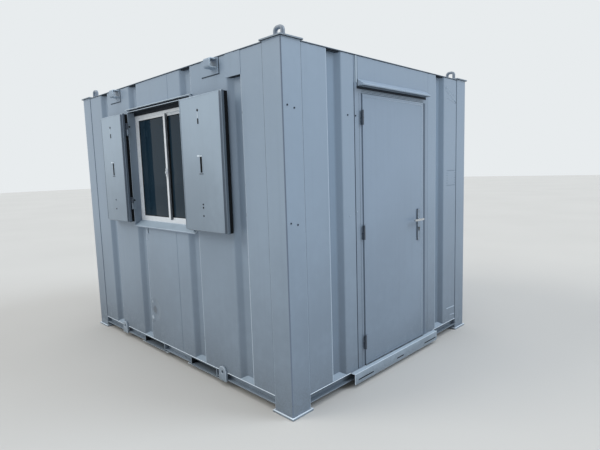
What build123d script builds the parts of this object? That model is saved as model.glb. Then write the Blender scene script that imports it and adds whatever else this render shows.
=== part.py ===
"""A portable steel site cabin: posts, rails, grooved walls, a shuttered window and a steel door.

+X points out of the door end, -Y out of the window wall and +Z up. The origin is on the ground,
under the centre of the cabin's overall box. All sizes are in millimetres.
"""

from build123d import *
import math
import os

# Overall size
LENGTH = 3048.0
WIDTH = 2438.0
POST_HEIGHT = 2410.0

# Corner posts, their plates and the lifting eyes
POST_FACE = 172.0
POST_RETURN = 60.0
POST_STEEL = 5.0
FOOT_PLATE_T = 15.0
CAP_PLATE_T = 12.0
PLATE_OVERHANG = 12.0
EYE_WIDTH = 90.0
EYE_OPENING = 44.0
EYE_HEIGHT = 86.0
EYE_THICKNESS = 28.0
EYE_FROM_CORNER_X = 106.0
EYE_FROM_CORNER_Y = 92.0

# Floor frame
RAIL_BOTTOM = 53.0
RAIL_HEIGHT = 62.0
RAIL_WEB_SETBACK = 38.0
RAIL_STEEL = 5.0
JOIST_WIDTH = 50.0
JOIST_SPACING = 400.0
DECK_T = 18.0

# Fork pockets through the floor frame
POCKET_X = (492.0, -311.0)
POCKET_OPENING = 350.0
POCKET_SIDE_STEEL = 15.0
POCKET_FLOOR_STEEL = 6.0
POCKET_HEIGHT = 57.0
POCKET_PLATE_EXTRA = 45.0
POCKET_PLATE_T = 6.0
POCKET_PLATE_DEPTH = 120.0

# Walls
WALL_SETBACK = 4.0
WALL_T = 80.0
LINING_T = 9.0
GROOVE_WIDTH = 150.0
GROOVE_DEPTH = 37.0
GROOVE_FLOOR = 74.0
GROOVE_SHIFT = 16.0
GROOVE_INNER = 434.0
GROOVE_PITCH = 600.0
END_GROOVE_Y = 730.0
GROOVE_CAP_HEIGHT = 25.0
GROOVE_CAP_EDGE = 2.0
GROOVE_COVER_HEIGHT = 155.0
GROOVE_COVER_MARGIN = 6.0
GROOVE_COVER_T = 3.0

# Roof and ceiling
ROOF_STEEL = 5.0
ROOF_LIP = 6.0
ROOF_RIB_HEIGHT = 8.0
ROOF_RIB_WIDTH = 70.0
ROOF_RIB_SLOPE = 17.5
ROOF_RIB_COUNT = 7
ROOF_RIB_PITCH = 360.0
ROOF_RIB_MARGIN = 200.0
ROOF_BEAM_SIZE = 50.0
CEILING_T = 9.0
CEILING_DROP = 90.0

# Window
WINDOW_HALF_WIDTH = 488.0
WINDOW_HEAD_DROP = 235.0
WINDOW_FILLER = 30.0
REVEAL_STEEL = 6.0
REVEAL_PROUD = 25.0
REVEAL_DEPTH = 45.0
SILL_BASE = 1176.0
SILL_RISE = 34.0
SILL_LIP_FALL = 11.0
SILL_LIP_PROUD = 27.0
SILL_LIP_DROP = 8.0
SILL_STEEL = 4.0
SILL_EXTRA = 24.0
DRIP_EXTRA = 58.0
DRIP_RISE = 27.0
DRIP_PROUD = 22.0
DRIP_STEEL = 3.0
FRAME_FACE = 32.0
FRAME_RAIL = 24.0
FRAME_DEPTH = 45.0
SASH_STILE = 24.0
SASH_RAIL = 20.0
SASH_MEETING_STILE = 31.0
SASH_DEPTH = 18.0
MEETING_STILE_PAST_MIDDLE = 33.0
OUTER_SASH_INSET = 4.0
INNER_SASH_INSET = 25.0
GLASS_T = 6.0

# Shutters
SHUTTER_LEFT_WIDTH = 440.0
SHUTTER_MEETING_GAP = 10.0
SHUTTER_BOTTOM_FALL = 14.0
SHUTTER_HEAD_GAP = 7.0
SHUTTER_INNER_T = 18.0
SHUTTER_OUTER_T = 22.0
SHUTTER_STEP = 8.0
SHUTTER_PIN_PROUD = 34.0
SHUTTER_BACK_PROUD = 50.0
SHUTTER_PIN_INSET = 1.0
SHUTTER_PIN_GAP = 4.0
SHUTTER_HINGE_FROM_TOP = 142.0
SHUTTER_HINGE_FROM_BOTTOM = 174.0
HINGE_LENGTH = 106.0
HINGE_RADIUS = 8.0
HINGE_PIN_RADIUS = 4.0
HINGE_BORE_CLEARANCE = 0.1
HINGE_END_GAP = 0.5
HINGE_WEB_T = 6.0
SLOT_WIDTH = 24.0
SLOT_HEIGHT = 122.0
SLOT_DEPTH = 12.0
SLOT_FROM_BOTTOM = 494.0

# Door
DOOR_HALF_WIDTH = 425.0
DOOR_BOTTOM_GAP = 7.0
DOOR_T = 42.0
DOOR_BORDER = 18.0
DOOR_BORDER_PROUD = 3.0
DOOR_GAP = 7.0
DOOR_STOP_GAP = 5.0
DOOR_STOP_WIDTH = 19.0
DOOR_FRAME_FACE = 81.0
DOOR_FRAME_HEAD = 73.0
DOOR_FRAME_DROP = 190.0
DOOR_PIN_PROUD = 12.0
DOOR_PIN_OUTSIDE = 12.0
DOOR_HINGE_FROM_TOP = 167.0
DOOR_HINGE_FROM_BOTTOM = (1028.0, 182.0)
HANDLE_BACKSET = 77.0
HANDLE_PLATE_WIDTH = 45.0
HANDLE_PLATE_BOTTOM = 994.0
HANDLE_PLATE_TOP = 1270.0
HANDLE_PLATE_T = 8.0
LEVER_Z = 1178.0
LEVER_LENGTH = 145.0
LEVER_THICKNESS = 16.0
LEVER_STANDOFF = 32.0
SPINDLE_RADIUS = 8.0
SPINDLE_CLEARANCE = 0.5
CYLINDER_Z = 1101.0
CYLINDER_RADIUS = 9.0
CYLINDER_PROUD = 5.0

# Door hood and threshold
HOOD_EXTRA = 47.0
HOOD_OUT = 50.0
HOOD_RISE = 28.0
HOOD_FALL = 36.0
HOOD_LIP = 12.0
HOOD_STEEL = 3.0
THRESHOLD_EXTRA = 97.0
THRESHOLD_OUT = 40.0
THRESHOLD_FALL = 2.0
THRESHOLD_BOTTOM = 30.0
THRESHOLD_STEEL = 5.0
THRESHOLD_SLOTS = ((-474.0, 187.0), (-2.0, 99.0), (488.0, 201.0))
THRESHOLD_SLOT_Z = 60.0
THRESHOLD_SLOT_HEIGHT = 9.0

# Lugs on the long rails and loops at the top of the long walls
LUG_X = (769.0, -893.0)
LUG_WIDTH = 90.0
LUG_BOTTOM = 44.0
LUG_TOP = 156.0
LUG_T = 14.0
LUG_HOLE_RADIUS = 14.0
LUG_HOLE_Z = 113.0
BRACKET_X = (788.0, -761.0)
BRACKET_PLATE_WIDTH = 208.0
BRACKET_PLATE_HEIGHT = 111.0
BRACKET_PLATE_T = 4.0
LOOP_SHIFT = 50.0
LOOP_WIDTH = 74.0
LOOP_HEIGHT = 68.0
LOOP_BELOW_ROOF = 6.0
LOOP_OUT = 66.0
LOOP_STEEL = 9.0
LOOP_CORNER = 17.0

# The origin is under the centre of the overall box, so the plan is set from its widest pieces.
LEVER_OUT = HANDLE_PLATE_T + LEVER_STANDOFF + LEVER_THICKNESS
FRONT_OUT = SHUTTER_BACK_PROUD + SHUTTER_INNER_T + SHUTTER_OUTER_T - WALL_SETBACK
BACK_OUT = LOOP_OUT - WALL_SETBACK
X_DOOR_END = LENGTH / 2 - (LEVER_OUT - PLATE_OVERHANG) / 2
X_FAR_END = X_DOOR_END - LENGTH
X_MID = (X_DOOR_END + X_FAR_END) / 2
Y_FRONT = -WIDTH / 2 + (FRONT_OUT - BACK_OUT) / 2
Y_BACK = Y_FRONT + WIDTH
Y_MID = (Y_FRONT + Y_BACK) / 2

# Heights, from the rails up and from the post tops down
POST_TOP = FOOT_PLATE_T + POST_HEIGHT
CAP_TOP = POST_TOP + CAP_PLATE_T
RAIL_TOP = RAIL_BOTTOM + RAIL_HEIGHT
FLOOR_TOP = RAIL_TOP + DECK_T
WALL_TOP = POST_TOP - ROOF_STEEL
CEILING_UNDERSIDE = WALL_TOP - CEILING_DROP
POCKET_Z = RAIL_TOP - RAIL_STEEL - POCKET_FLOOR_STEEL - POCKET_HEIGHT
WINDOW_HEAD = WALL_TOP - WINDOW_HEAD_DROP
WINDOW_TOP = WINDOW_HEAD - WINDOW_FILLER
WINDOW_BOTTOM = SILL_BASE + SILL_RISE
SILL_LIP_Z = SILL_BASE - SILL_LIP_FALL
DRIP_Z = WINDOW_HEAD + DRIP_RISE
SHUTTER_BOTTOM = WINDOW_BOTTOM - SHUTTER_BOTTOM_FALL
SHUTTER_TOP = WINDOW_HEAD - SHUTTER_HEAD_GAP
SHUTTER_HINGE_Z = (SHUTTER_TOP - SHUTTER_HINGE_FROM_TOP, SHUTTER_BOTTOM + SHUTTER_HINGE_FROM_BOTTOM)
SLOT_Z = SHUTTER_BOTTOM + SLOT_FROM_BOTTOM
DOOR_FRAME_TOP = WALL_TOP - DOOR_FRAME_DROP
DOOR_TOP = DOOR_FRAME_TOP - DOOR_FRAME_HEAD
DOOR_BOTTOM = RAIL_TOP + DOOR_BOTTOM_GAP
DOOR_HINGE_Z = (
    DOOR_TOP - DOOR_HINGE_FROM_TOP,
    DOOR_BOTTOM + DOOR_HINGE_FROM_BOTTOM[0],
    DOOR_BOTTOM + DOOR_HINGE_FROM_BOTTOM[1],
)
HOOD_TOP = DOOR_FRAME_TOP + HOOD_RISE
HOOD_LIP_TOP = HOOD_TOP - HOOD_FALL
HOOD_LIP_BOTTOM = HOOD_LIP_TOP - HOOD_LIP
THRESHOLD_TOP = RAIL_TOP - THRESHOLD_FALL
BRACKET_PLATE_BOTTOM = WALL_TOP - BRACKET_PLATE_HEIGHT
LOOP_TOP = WALL_TOP - LOOP_BELOW_ROOF
LOOP_BOTTOM = LOOP_TOP - LOOP_HEIGHT

# Depths and half widths that follow the pieces they meet
EYE_BAR = (EYE_WIDTH - EYE_OPENING) / 2
EYE_INSIDE_HEIGHT = EYE_HEIGHT - EYE_BAR
EYE_INSIDE_RADIUS = EYE_OPENING / 4
LOOP_REACH = LOOP_OUT - BRACKET_PLATE_T
WALL_FRONT = Y_FRONT + WALL_SETBACK
LINING_DEPTH = WALL_SETBACK + WALL_T
ROOM_DEPTH = LINING_DEPTH + LINING_T
SHUTTER_T = SHUTTER_INNER_T + SHUTTER_OUTER_T
SHUTTER_PIN_Y = WALL_FRONT - SHUTTER_PIN_PROUD
SHUTTER_PIN_X = WINDOW_HALF_WIDTH - SHUTTER_PIN_INSET
SHUTTER_SPACE = 2 * (SHUTTER_PIN_X - SHUTTER_PIN_GAP) - SHUTTER_MEETING_GAP
SHUTTER_RIGHT_WIDTH = SHUTTER_SPACE - SHUTTER_LEFT_WIDTH
DRIP_HALF_WIDTH = WINDOW_HALF_WIDTH + DRIP_EXTRA
DOOR_FRAME_OPENING = DOOR_HALF_WIDTH + DOOR_GAP
DOOR_FRAME_HALF_WIDTH = DOOR_FRAME_OPENING + DOOR_FRAME_FACE
DOOR_PIN_Y = DOOR_HALF_WIDTH + DOOR_PIN_OUTSIDE
HANDLE_Y = DOOR_HALF_WIDTH - HANDLE_BACKSET
HOOD_HALF_WIDTH = DOOR_HALF_WIDTH + HOOD_EXTRA
THRESHOLD_HALF_WIDTH = DOOR_FRAME_HALF_WIDTH + THRESHOLD_EXTRA
DOOR_STOP_X = X_DOOR_END - DOOR_T - DOOR_STOP_GAP

os.makedirs("parts", exist_ok=True)


def block(x_span, y_span, z_span, mode=Mode.ADD):
    """A straight block between three spans, in the part that is being built."""
    sizes = [abs(high - low) for low, high in (x_span, y_span, z_span)]
    middle = tuple(sum(span) / 2 for span in (x_span, y_span, z_span))
    with Locations(middle):
        Box(*sizes, mode=mode)


def save(part, node):
    """Label a finished piece and write it."""
    part.label = node
    export_step(part, f"parts/{node}.step")


def groove_outline(facing):
    """Draw one pressed groove, its lip on the wall's face and its floor inside."""
    slope = math.degrees(math.atan2(GROOVE_DEPTH, (GROOVE_WIDTH - GROOVE_FLOOR) / 2))
    align = (Align.CENTER, Align.MIN)
    Trapezoid(GROOVE_WIDTH, GROOVE_DEPTH, slope, rotation=facing, align=align, mode=Mode.ADD)


def grooves(places, facing, z_span, mode):
    """Press or fill grooves at several places on one wall, over a height."""
    with BuildSketch(Plane.XY.offset(z_span[0])) as outlines:
        with Locations(*places):
            groove_outline(facing)
    extrude(outlines.sketch, amount=z_span[1] - z_span[0], mode=mode)


def wall_panels(node, x_spans, y_spans, z_span, places, facing):
    """Grooved wall panels of one height, each cut to its own spans in plan."""
    with BuildPart() as panels:
        for x_span in x_spans:
            for y_span in y_spans:
                block(x_span, y_span, z_span)
        if places:
            grooves(places, facing, z_span, Mode.SUBTRACT)
    save(panels.part, node)


def corners():
    """The four outer corners of the posts, each with its inward directions."""
    for x, inward_x in ((X_FAR_END, 1), (X_DOOR_END, -1)):
        for y, inward_y in ((Y_FRONT, 1), (Y_BACK, -1)):
            yield x, y, inward_x, inward_y


# Corner posts, folded from plate, with a return along each free edge
with BuildPart() as corner_posts:
    for x, y, inward_x, inward_y in corners():
        with BuildSketch(Plane.XY.offset(FOOT_PLATE_T)):
            with BuildLine():
                Polyline(
                    (x + inward_x * POST_FACE, y + inward_y * POST_RETURN),
                    (x + inward_x * POST_FACE, y),
                    (x, y),
                    (x, y + inward_y * POST_FACE),
                    (x + inward_x * POST_RETURN, y + inward_y * POST_FACE),
                    (x + inward_x * POST_RETURN, y + inward_y * (POST_FACE - POST_STEEL)),
                    (x + inward_x * POST_STEEL, y + inward_y * (POST_FACE - POST_STEEL)),
                    (x + inward_x * POST_STEEL, y + inward_y * POST_STEEL),
                    (x + inward_x * (POST_FACE - POST_STEEL), y + inward_y * POST_STEEL),
                    (x + inward_x * (POST_FACE - POST_STEEL), y + inward_y * POST_RETURN),
                    close=True,
                )
            make_face()
        extrude(amount=POST_HEIGHT)
save(corner_posts.part, "corner_posts")


def corner_plates(thickness, bottom):
    """A square plate over the plan of each post, with an overhang outside."""
    for x, y, inward_x, inward_y in corners():
        x_span = (x - inward_x * PLATE_OVERHANG, x + inward_x * (POST_FACE + PLATE_OVERHANG))
        y_span = (y - inward_y * PLATE_OVERHANG, y + inward_y * (POST_FACE + PLATE_OVERHANG))
        block(x_span, y_span, (bottom, bottom + thickness))


with BuildPart() as foot_plates:
    corner_plates(FOOT_PLATE_T, 0)
save(foot_plates.part, "foot_plates")

with BuildPart() as cap_plates:
    corner_plates(CAP_PLATE_T, POST_TOP)
save(cap_plates.part, "cap_plates")

# Lifting eyes, a bent bar on each cap plate
with BuildPart() as lifting_eyes:
    for x, y, inward_x, inward_y in corners():
        eye_foot = (x + inward_x * EYE_FROM_CORNER_X, y + inward_y * EYE_FROM_CORNER_Y, CAP_TOP)
        with BuildSketch(Plane(origin=eye_foot, x_dir=(1, 0, 0), z_dir=(0, -1, 0))) as eye:
            with Locations((0, EYE_HEIGHT / 2)):
                Rectangle(EYE_WIDTH, EYE_HEIGHT)
            with Locations((0, EYE_INSIDE_HEIGHT / 2)):
                Rectangle(EYE_OPENING, EYE_INSIDE_HEIGHT, mode=Mode.SUBTRACT)
            fillet(eye.vertices().group_by(Axis.Y)[1], radius=EYE_INSIDE_RADIUS)
            fillet(eye.vertices().group_by(Axis.Y)[-1], radius=EYE_INSIDE_RADIUS + EYE_BAR)
        extrude(amount=EYE_THICKNESS / 2, both=True)
save(lifting_eyes.part, "lifting_eyes")


def pocket_outer():
    """The outside spans of each fork pocket's tube, in length and height."""
    half = POCKET_OPENING / 2 + POCKET_SIDE_STEEL
    z_span = (POCKET_Z - POCKET_FLOOR_STEEL, POCKET_Z + POCKET_HEIGHT + POCKET_FLOOR_STEEL)
    for centre in POCKET_X:
        yield (X_MID + centre - half, X_MID + centre + half), z_span


# Channels along the long sides, open outwards and notched where the pockets pass
hollow_z = (RAIL_BOTTOM + RAIL_STEEL, RAIL_TOP - RAIL_STEEL)
with BuildPart() as long_rails:
    rail_x = (X_FAR_END + POST_FACE, X_DOOR_END - POST_FACE)
    for face_y, inward in ((Y_FRONT, 1), (Y_BACK, -1)):
        web_y = face_y + inward * (RAIL_WEB_SETBACK + RAIL_STEEL)
        hollow_y = face_y + inward * RAIL_WEB_SETBACK
        block(rail_x, (face_y, web_y), (RAIL_BOTTOM, RAIL_TOP))
        block(rail_x, (face_y, hollow_y), hollow_z, Mode.SUBTRACT)
        for pocket_x, pocket_z in pocket_outer():
            block(pocket_x, (face_y, web_y), (RAIL_BOTTOM, pocket_z[1]), Mode.SUBTRACT)
save(long_rails.part, "long_rails")

# Channels along the ends, open outwards
with BuildPart() as end_rails:
    rail_y = (Y_FRONT + POST_FACE, Y_BACK - POST_FACE)
    for face_x, inward in ((X_FAR_END, 1), (X_DOOR_END, -1)):
        web_x = face_x + inward * (RAIL_WEB_SETBACK + RAIL_STEEL)
        hollow_x = face_x + inward * RAIL_WEB_SETBACK
        block((face_x, web_x), rail_y, (RAIL_BOTTOM, RAIL_TOP))
        block((face_x, hollow_x), rail_y, hollow_z, Mode.SUBTRACT)
save(end_rails.part, "end_rails")

# Fork pockets, each a flat tube from side to side with a plate under each mouth
with BuildPart() as fork_pockets:
    for pocket_x, pocket_z in pocket_outer():
        block(pocket_x, (Y_FRONT, Y_BACK), pocket_z)
        inside_x = (pocket_x[0] + POCKET_SIDE_STEEL, pocket_x[1] - POCKET_SIDE_STEEL)
        inside_z = (POCKET_Z, POCKET_Z + POCKET_HEIGHT)
        block(inside_x, (Y_FRONT, Y_BACK), inside_z, Mode.SUBTRACT)
        plate_x = (pocket_x[0] - POCKET_PLATE_EXTRA, pocket_x[1] + POCKET_PLATE_EXTRA)
        plate_z = (pocket_z[0] - POCKET_PLATE_T, pocket_z[0])
        for mouth, inward in ((Y_FRONT, 1), (Y_BACK, -1)):
            block(plate_x, (mouth, mouth + inward * POCKET_PLATE_DEPTH), plate_z)
save(fork_pockets.part, "fork_pockets")

# Joists from side to side under the deck, left out where a pocket passes
joist_y = (
    Y_FRONT + RAIL_WEB_SETBACK + RAIL_STEEL,
    Y_BACK - RAIL_WEB_SETBACK - RAIL_STEEL,
)
joist_start = X_FAR_END + POST_FACE + JOIST_WIDTH / 2
joist_end = X_DOOR_END - POST_FACE - JOIST_WIDTH / 2
joist_count = int((joist_end - joist_start) // JOIST_SPACING) + 1
joist_pitch = (joist_end - joist_start) / (joist_count - 1)
with BuildPart() as floor_joists:
    for number in range(joist_count):
        joist_x = joist_start + number * joist_pitch
        span = (joist_x - JOIST_WIDTH / 2, joist_x + JOIST_WIDTH / 2)
        pockets_met = [tube for tube, _ in pocket_outer() if span[0] < tube[1] and span[1] > tube[0]]
        if not pockets_met:
            block(span, joist_y, (RAIL_BOTTOM, RAIL_TOP))
save(floor_joists.part, "floor_joists")

# Floor deck, with a tongue that runs into the doorway
with BuildPart() as floor_deck:
    room_x = (X_FAR_END + ROOM_DEPTH, X_DOOR_END - ROOM_DEPTH)
    room_y = (Y_FRONT + ROOM_DEPTH, Y_BACK - ROOM_DEPTH)
    block(room_x, room_y, (RAIL_TOP, FLOOR_TOP))
    tongue_half = DOOR_FRAME_OPENING - DOOR_STOP_WIDTH
    tongue_x = (room_x[1], DOOR_STOP_X)
    block(tongue_x, (Y_MID - tongue_half, Y_MID + tongue_half), (RAIL_TOP, FLOOR_TOP))
save(floor_deck.part, "floor_deck")

# Long walls
long_centres = [
    GROOVE_SHIFT + side * (GROOVE_INNER + step * GROOVE_PITCH) for side in (-1, 1) for step in (0, 1)
]
front_places = [(X_MID + centre, WALL_FRONT) for centre in long_centres]
back_places = [(X_MID + centre, Y_BACK - WALL_SETBACK) for centre in long_centres]
front_y = (WALL_FRONT, Y_FRONT + LINING_DEPTH)
back_y = (Y_BACK - LINING_DEPTH, Y_BACK - WALL_SETBACK)
long_x = (X_FAR_END + POST_FACE, X_DOOR_END - POST_FACE)
opening_half = WINDOW_HALF_WIDTH + REVEAL_STEEL
opening_top = WINDOW_HEAD + REVEAL_STEEL
left_x = (long_x[0], X_MID - opening_half)
right_x = (X_MID + opening_half, long_x[1])
full_z = (RAIL_TOP, WALL_TOP)
beside_z = (SILL_BASE, opening_top)
wall_panels("front_wall_below", [long_x], [front_y], (RAIL_TOP, SILL_BASE), front_places, 0)
wall_panels("front_wall_beside", [left_x, right_x], [front_y], beside_z, front_places, 0)
wall_panels("front_wall_above", [long_x], [front_y], (opening_top, WALL_TOP), front_places, 0)
wall_panels("back_wall", [long_x], [back_y], full_z, back_places, 180)

# End walls
end_y = (Y_FRONT + POST_FACE, Y_BACK - POST_FACE)
far_x = (X_FAR_END + WALL_SETBACK, X_FAR_END + LINING_DEPTH)
door_x = (X_DOOR_END - LINING_DEPTH, X_DOOR_END - WALL_SETBACK)
far_places = [(far_x[0], Y_MID + y) for y in (-END_GROOVE_Y, 0, END_GROOVE_Y)]
door_places = [(door_x[1], Y_MID + y) for y in (-END_GROOVE_Y, END_GROOVE_Y)]
near_y = (end_y[0], Y_MID - DOOR_FRAME_HALF_WIDTH)
away_y = (Y_MID + DOOR_FRAME_HALF_WIDTH, end_y[1])
over_y = (near_y[1], away_y[0])
wall_panels("far_end_wall", [far_x], [end_y], full_z, far_places, -90)
wall_panels("door_wall_beside", [door_x], [near_y, away_y], full_z, door_places, 90)
wall_panels("door_wall_above", [door_x], [over_y], (DOOR_FRAME_TOP, WALL_TOP), [], 90)

# Linings inside the room, with the window and the doorway cut through
lining_z = (RAIL_TOP, CEILING_UNDERSIDE)
lining_x = (X_FAR_END + LINING_DEPTH, X_DOOR_END - LINING_DEPTH)
with BuildPart() as linings_long:
    for inner_y, outer_y in (
        (Y_FRONT + ROOM_DEPTH, Y_FRONT + LINING_DEPTH),
        (Y_BACK - ROOM_DEPTH, Y_BACK - LINING_DEPTH),
    ):
        block(lining_x, (inner_y, outer_y), lining_z)
    cut_x = (X_MID - opening_half, X_MID + opening_half)
    cut_y = (Y_FRONT + LINING_DEPTH, Y_FRONT + ROOM_DEPTH)
    block(cut_x, cut_y, beside_z, Mode.SUBTRACT)
save(linings_long.part, "linings_long")

with BuildPart() as linings_end:
    block((lining_x[0], room_x[0]), room_y, lining_z)
    block((room_x[1], lining_x[1]), room_y, lining_z)
    block((room_x[1], lining_x[1]), over_y, (RAIL_TOP, DOOR_FRAME_TOP), Mode.SUBTRACT)
save(linings_end.part, "linings_end")

with BuildPart() as ceiling:
    ceiling_z = (CEILING_UNDERSIDE, CEILING_UNDERSIDE + CEILING_T)
    block(lining_x, (Y_FRONT + LINING_DEPTH, Y_BACK - LINING_DEPTH), ceiling_z)
save(ceiling.part, "ceiling")

# Roof beams between the ceiling and the roof sheet
beam_z = (CEILING_UNDERSIDE + CEILING_T, WALL_TOP)
with BuildPart() as roof_beams:
    for number in range(ROOF_RIB_COUNT):
        beam_x = X_MID + (number - (ROOF_RIB_COUNT - 1) / 2) * ROOF_RIB_PITCH
        span = (beam_x - ROOF_BEAM_SIZE / 2, beam_x + ROOF_BEAM_SIZE / 2)
        block(span, (front_y[1], back_y[0]), beam_z)
save(roof_beams.part, "roof_beams")

# Roof sheet, notched at the posts, with a small lip all round and pressed ribs from side to side
with BuildPart() as roof_sheet:
    roof_z = (WALL_TOP, WALL_TOP + ROOF_STEEL)
    roof_x = (X_FAR_END + WALL_SETBACK - ROOF_LIP, X_DOOR_END - WALL_SETBACK + ROOF_LIP)
    roof_y = (WALL_FRONT - ROOF_LIP, Y_BACK - WALL_SETBACK + ROOF_LIP)
    block(roof_x, roof_y, roof_z)
    for x, y, inward_x, inward_y in corners():
        notch_x = (x - inward_x * ROOF_LIP, x + inward_x * POST_FACE)
        notch_y = (y - inward_y * ROOF_LIP, y + inward_y * POST_FACE)
        block(notch_x, notch_y, roof_z, Mode.SUBTRACT)
    rib_plane = Plane(origin=(X_MID, Y_MID, roof_z[1]), x_dir=(1, 0, 0), z_dir=(0, -1, 0))
    with BuildSketch(rib_plane):
        with GridLocations(ROOF_RIB_PITCH, 0, ROOF_RIB_COUNT, 1):
            rib_slope = math.degrees(math.atan2(ROOF_RIB_HEIGHT, ROOF_RIB_SLOPE))
            rib_align = (Align.CENTER, Align.MIN)
            Trapezoid(ROOF_RIB_WIDTH, ROOF_RIB_HEIGHT, rib_slope, align=rib_align)
    extrude(amount=WIDTH / 2 - ROOF_RIB_MARGIN, both=True)
save(roof_sheet.part, "roof_sheet")

# Sloped plugs at the foot of each groove, and the plate over the top of one
with BuildPart() as groove_caps:
    cap_z = (RAIL_TOP, RAIL_TOP + GROOVE_CAP_HEIGHT)
    cap_sets = ((front_places, 0), (back_places, 180), (far_places, -90), (door_places, 90))
    for places, facing in cap_sets:
        grooves(places, facing, cap_z, Mode.ADD)
    slope_end = (GROOVE_DEPTH, GROOVE_CAP_HEIGHT)
    for places, facing in cap_sets:
        for x, y in places:
            plane = Plane(origin=(x, y, RAIL_TOP), z_dir=(0, 0, 1)).rotated((0, 0, facing))
            side_plane = Plane(origin=plane.origin, x_dir=plane.y_dir, z_dir=plane.x_dir)
            with BuildSketch(side_plane):
                with BuildLine():
                    Polyline((0, GROOVE_CAP_EDGE), (0, GROOVE_CAP_HEIGHT), slope_end, close=True)
                make_face()
            extrude(amount=GROOVE_WIDTH / 2, both=True, mode=Mode.SUBTRACT)
save(groove_caps.part, "groove_caps")

with BuildPart() as groove_cover:
    cover_half = GROOVE_WIDTH / 2 + GROOVE_COVER_MARGIN
    cover_x = X_MID + max(long_centres)
    cover_z = (WALL_TOP - GROOVE_COVER_HEIGHT, WALL_TOP)
    block((cover_x - cover_half, cover_x + cover_half), (WALL_FRONT - GROOVE_COVER_T, WALL_FRONT), cover_z)
save(groove_cover.part, "groove_cover")

# Window sill, a folded sheet over the lower wall that sheds water outwards
frame_front = WALL_FRONT + REVEAL_DEPTH
frame_back = frame_front + FRAME_DEPTH
lip_y = WALL_FRONT - SILL_LIP_PROUD
lip_back = lip_y + SILL_STEEL
lip_foot = SILL_LIP_Z - SILL_LIP_DROP
lip_underside = SILL_LIP_Z - SILL_STEEL / 2
sill_slope = (WINDOW_BOTTOM - SILL_LIP_Z) / (frame_front - lip_y)
sill_at_wall = SILL_LIP_Z + sill_slope * SILL_LIP_PROUD
sill_half = WINDOW_HALF_WIDTH + SILL_EXTRA
sill_plane = Plane(origin=(X_MID, 0, 0), x_dir=(0, 1, 0), z_dir=(1, 0, 0))
with BuildPart() as window_sill:
    with BuildSketch(sill_plane):
        with BuildLine():
            Polyline(
                (frame_back, SILL_BASE),
                (frame_back, WINDOW_BOTTOM),
                (frame_front, WINDOW_BOTTOM),
                (lip_y, SILL_LIP_Z),
                (lip_y, lip_foot),
                (lip_back, lip_foot),
                (lip_back, lip_underside),
                (WALL_FRONT, SILL_BASE),
                close=True,
            )
        make_face()
    extrude(amount=WINDOW_HALF_WIDTH, both=True)
    with BuildSketch(sill_plane):
        with BuildLine():
            Polyline(
                (WALL_FRONT, SILL_BASE),
                (WALL_FRONT, sill_at_wall),
                (lip_y, SILL_LIP_Z),
                (lip_y, lip_foot),
                (lip_back, lip_foot),
                (lip_back, lip_underside),
                close=True,
            )
        make_face()
    extrude(amount=sill_half, both=True)
save(window_sill.part, "window_sill")

# Window reveal, folded steel on both jambs and over the head, standing on the sill
reveal_y = (WALL_FRONT - REVEAL_PROUD, frame_back)
with BuildPart() as window_reveal:
    block((X_MID - opening_half, X_MID + opening_half), reveal_y, (SILL_BASE, opening_top))
    inside = (X_MID - WINDOW_HALF_WIDTH, X_MID + WINDOW_HALF_WIDTH)
    block(inside, reveal_y, (SILL_BASE, WINDOW_HEAD), Mode.SUBTRACT)
    block(inside, (frame_front - REVEAL_STEEL, frame_back), (WINDOW_TOP, WINDOW_HEAD))
    add(window_sill.part, mode=Mode.SUBTRACT)
save(window_reveal.part, "window_reveal")

with BuildPart() as window_drip:
    drip_x = (X_MID - DRIP_HALF_WIDTH, X_MID + DRIP_HALF_WIDTH)
    block(drip_x, (WALL_FRONT - DRIP_PROUD, WALL_FRONT), (DRIP_Z, DRIP_Z + DRIP_STEEL))
    lip_span = (WALL_FRONT - DRIP_PROUD, WALL_FRONT - DRIP_PROUD + DRIP_STEEL)
    block(drip_x, lip_span, (DRIP_Z - DRIP_STEEL, DRIP_Z))
save(window_drip.part, "window_drip")


def ring(x_span, z_span, stile_left, stile_right, rail, y_span):
    """A rectangular frame in the window's plane, with its own stile and rail widths."""
    block(x_span, y_span, z_span)
    inside_x = (x_span[0] + stile_left, x_span[1] - stile_right)
    block(inside_x, y_span, (z_span[0] + rail, z_span[1] - rail), Mode.SUBTRACT)


window_x = (X_MID - WINDOW_HALF_WIDTH, X_MID + WINDOW_HALF_WIDTH)
window_z = (WINDOW_BOTTOM, WINDOW_TOP)
with BuildPart() as window_frame:
    ring(window_x, window_z, FRAME_FACE, FRAME_FACE, FRAME_RAIL, (frame_front, frame_back))
save(window_frame.part, "window_frame")

sash_z = (WINDOW_BOTTOM + FRAME_RAIL, WINDOW_TOP - FRAME_RAIL)
outer_sash_x = (window_x[0] + FRAME_FACE, X_MID + MEETING_STILE_PAST_MIDDLE)
inner_sash_x = (X_MID + MEETING_STILE_PAST_MIDDLE - SASH_MEETING_STILE, window_x[1] - FRAME_FACE)
outer_sash_y = (frame_front + OUTER_SASH_INSET, frame_front + OUTER_SASH_INSET + SASH_DEPTH)
inner_sash_y = (frame_front + INNER_SASH_INSET, frame_front + INNER_SASH_INSET + SASH_DEPTH)
with BuildPart() as sash_outer:
    ring(outer_sash_x, sash_z, SASH_STILE, SASH_MEETING_STILE, SASH_RAIL, outer_sash_y)
save(sash_outer.part, "sash_outer")

with BuildPart() as sash_inner:
    ring(inner_sash_x, sash_z, SASH_MEETING_STILE, SASH_STILE, SASH_RAIL, inner_sash_y)
save(sash_inner.part, "sash_inner")


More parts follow.
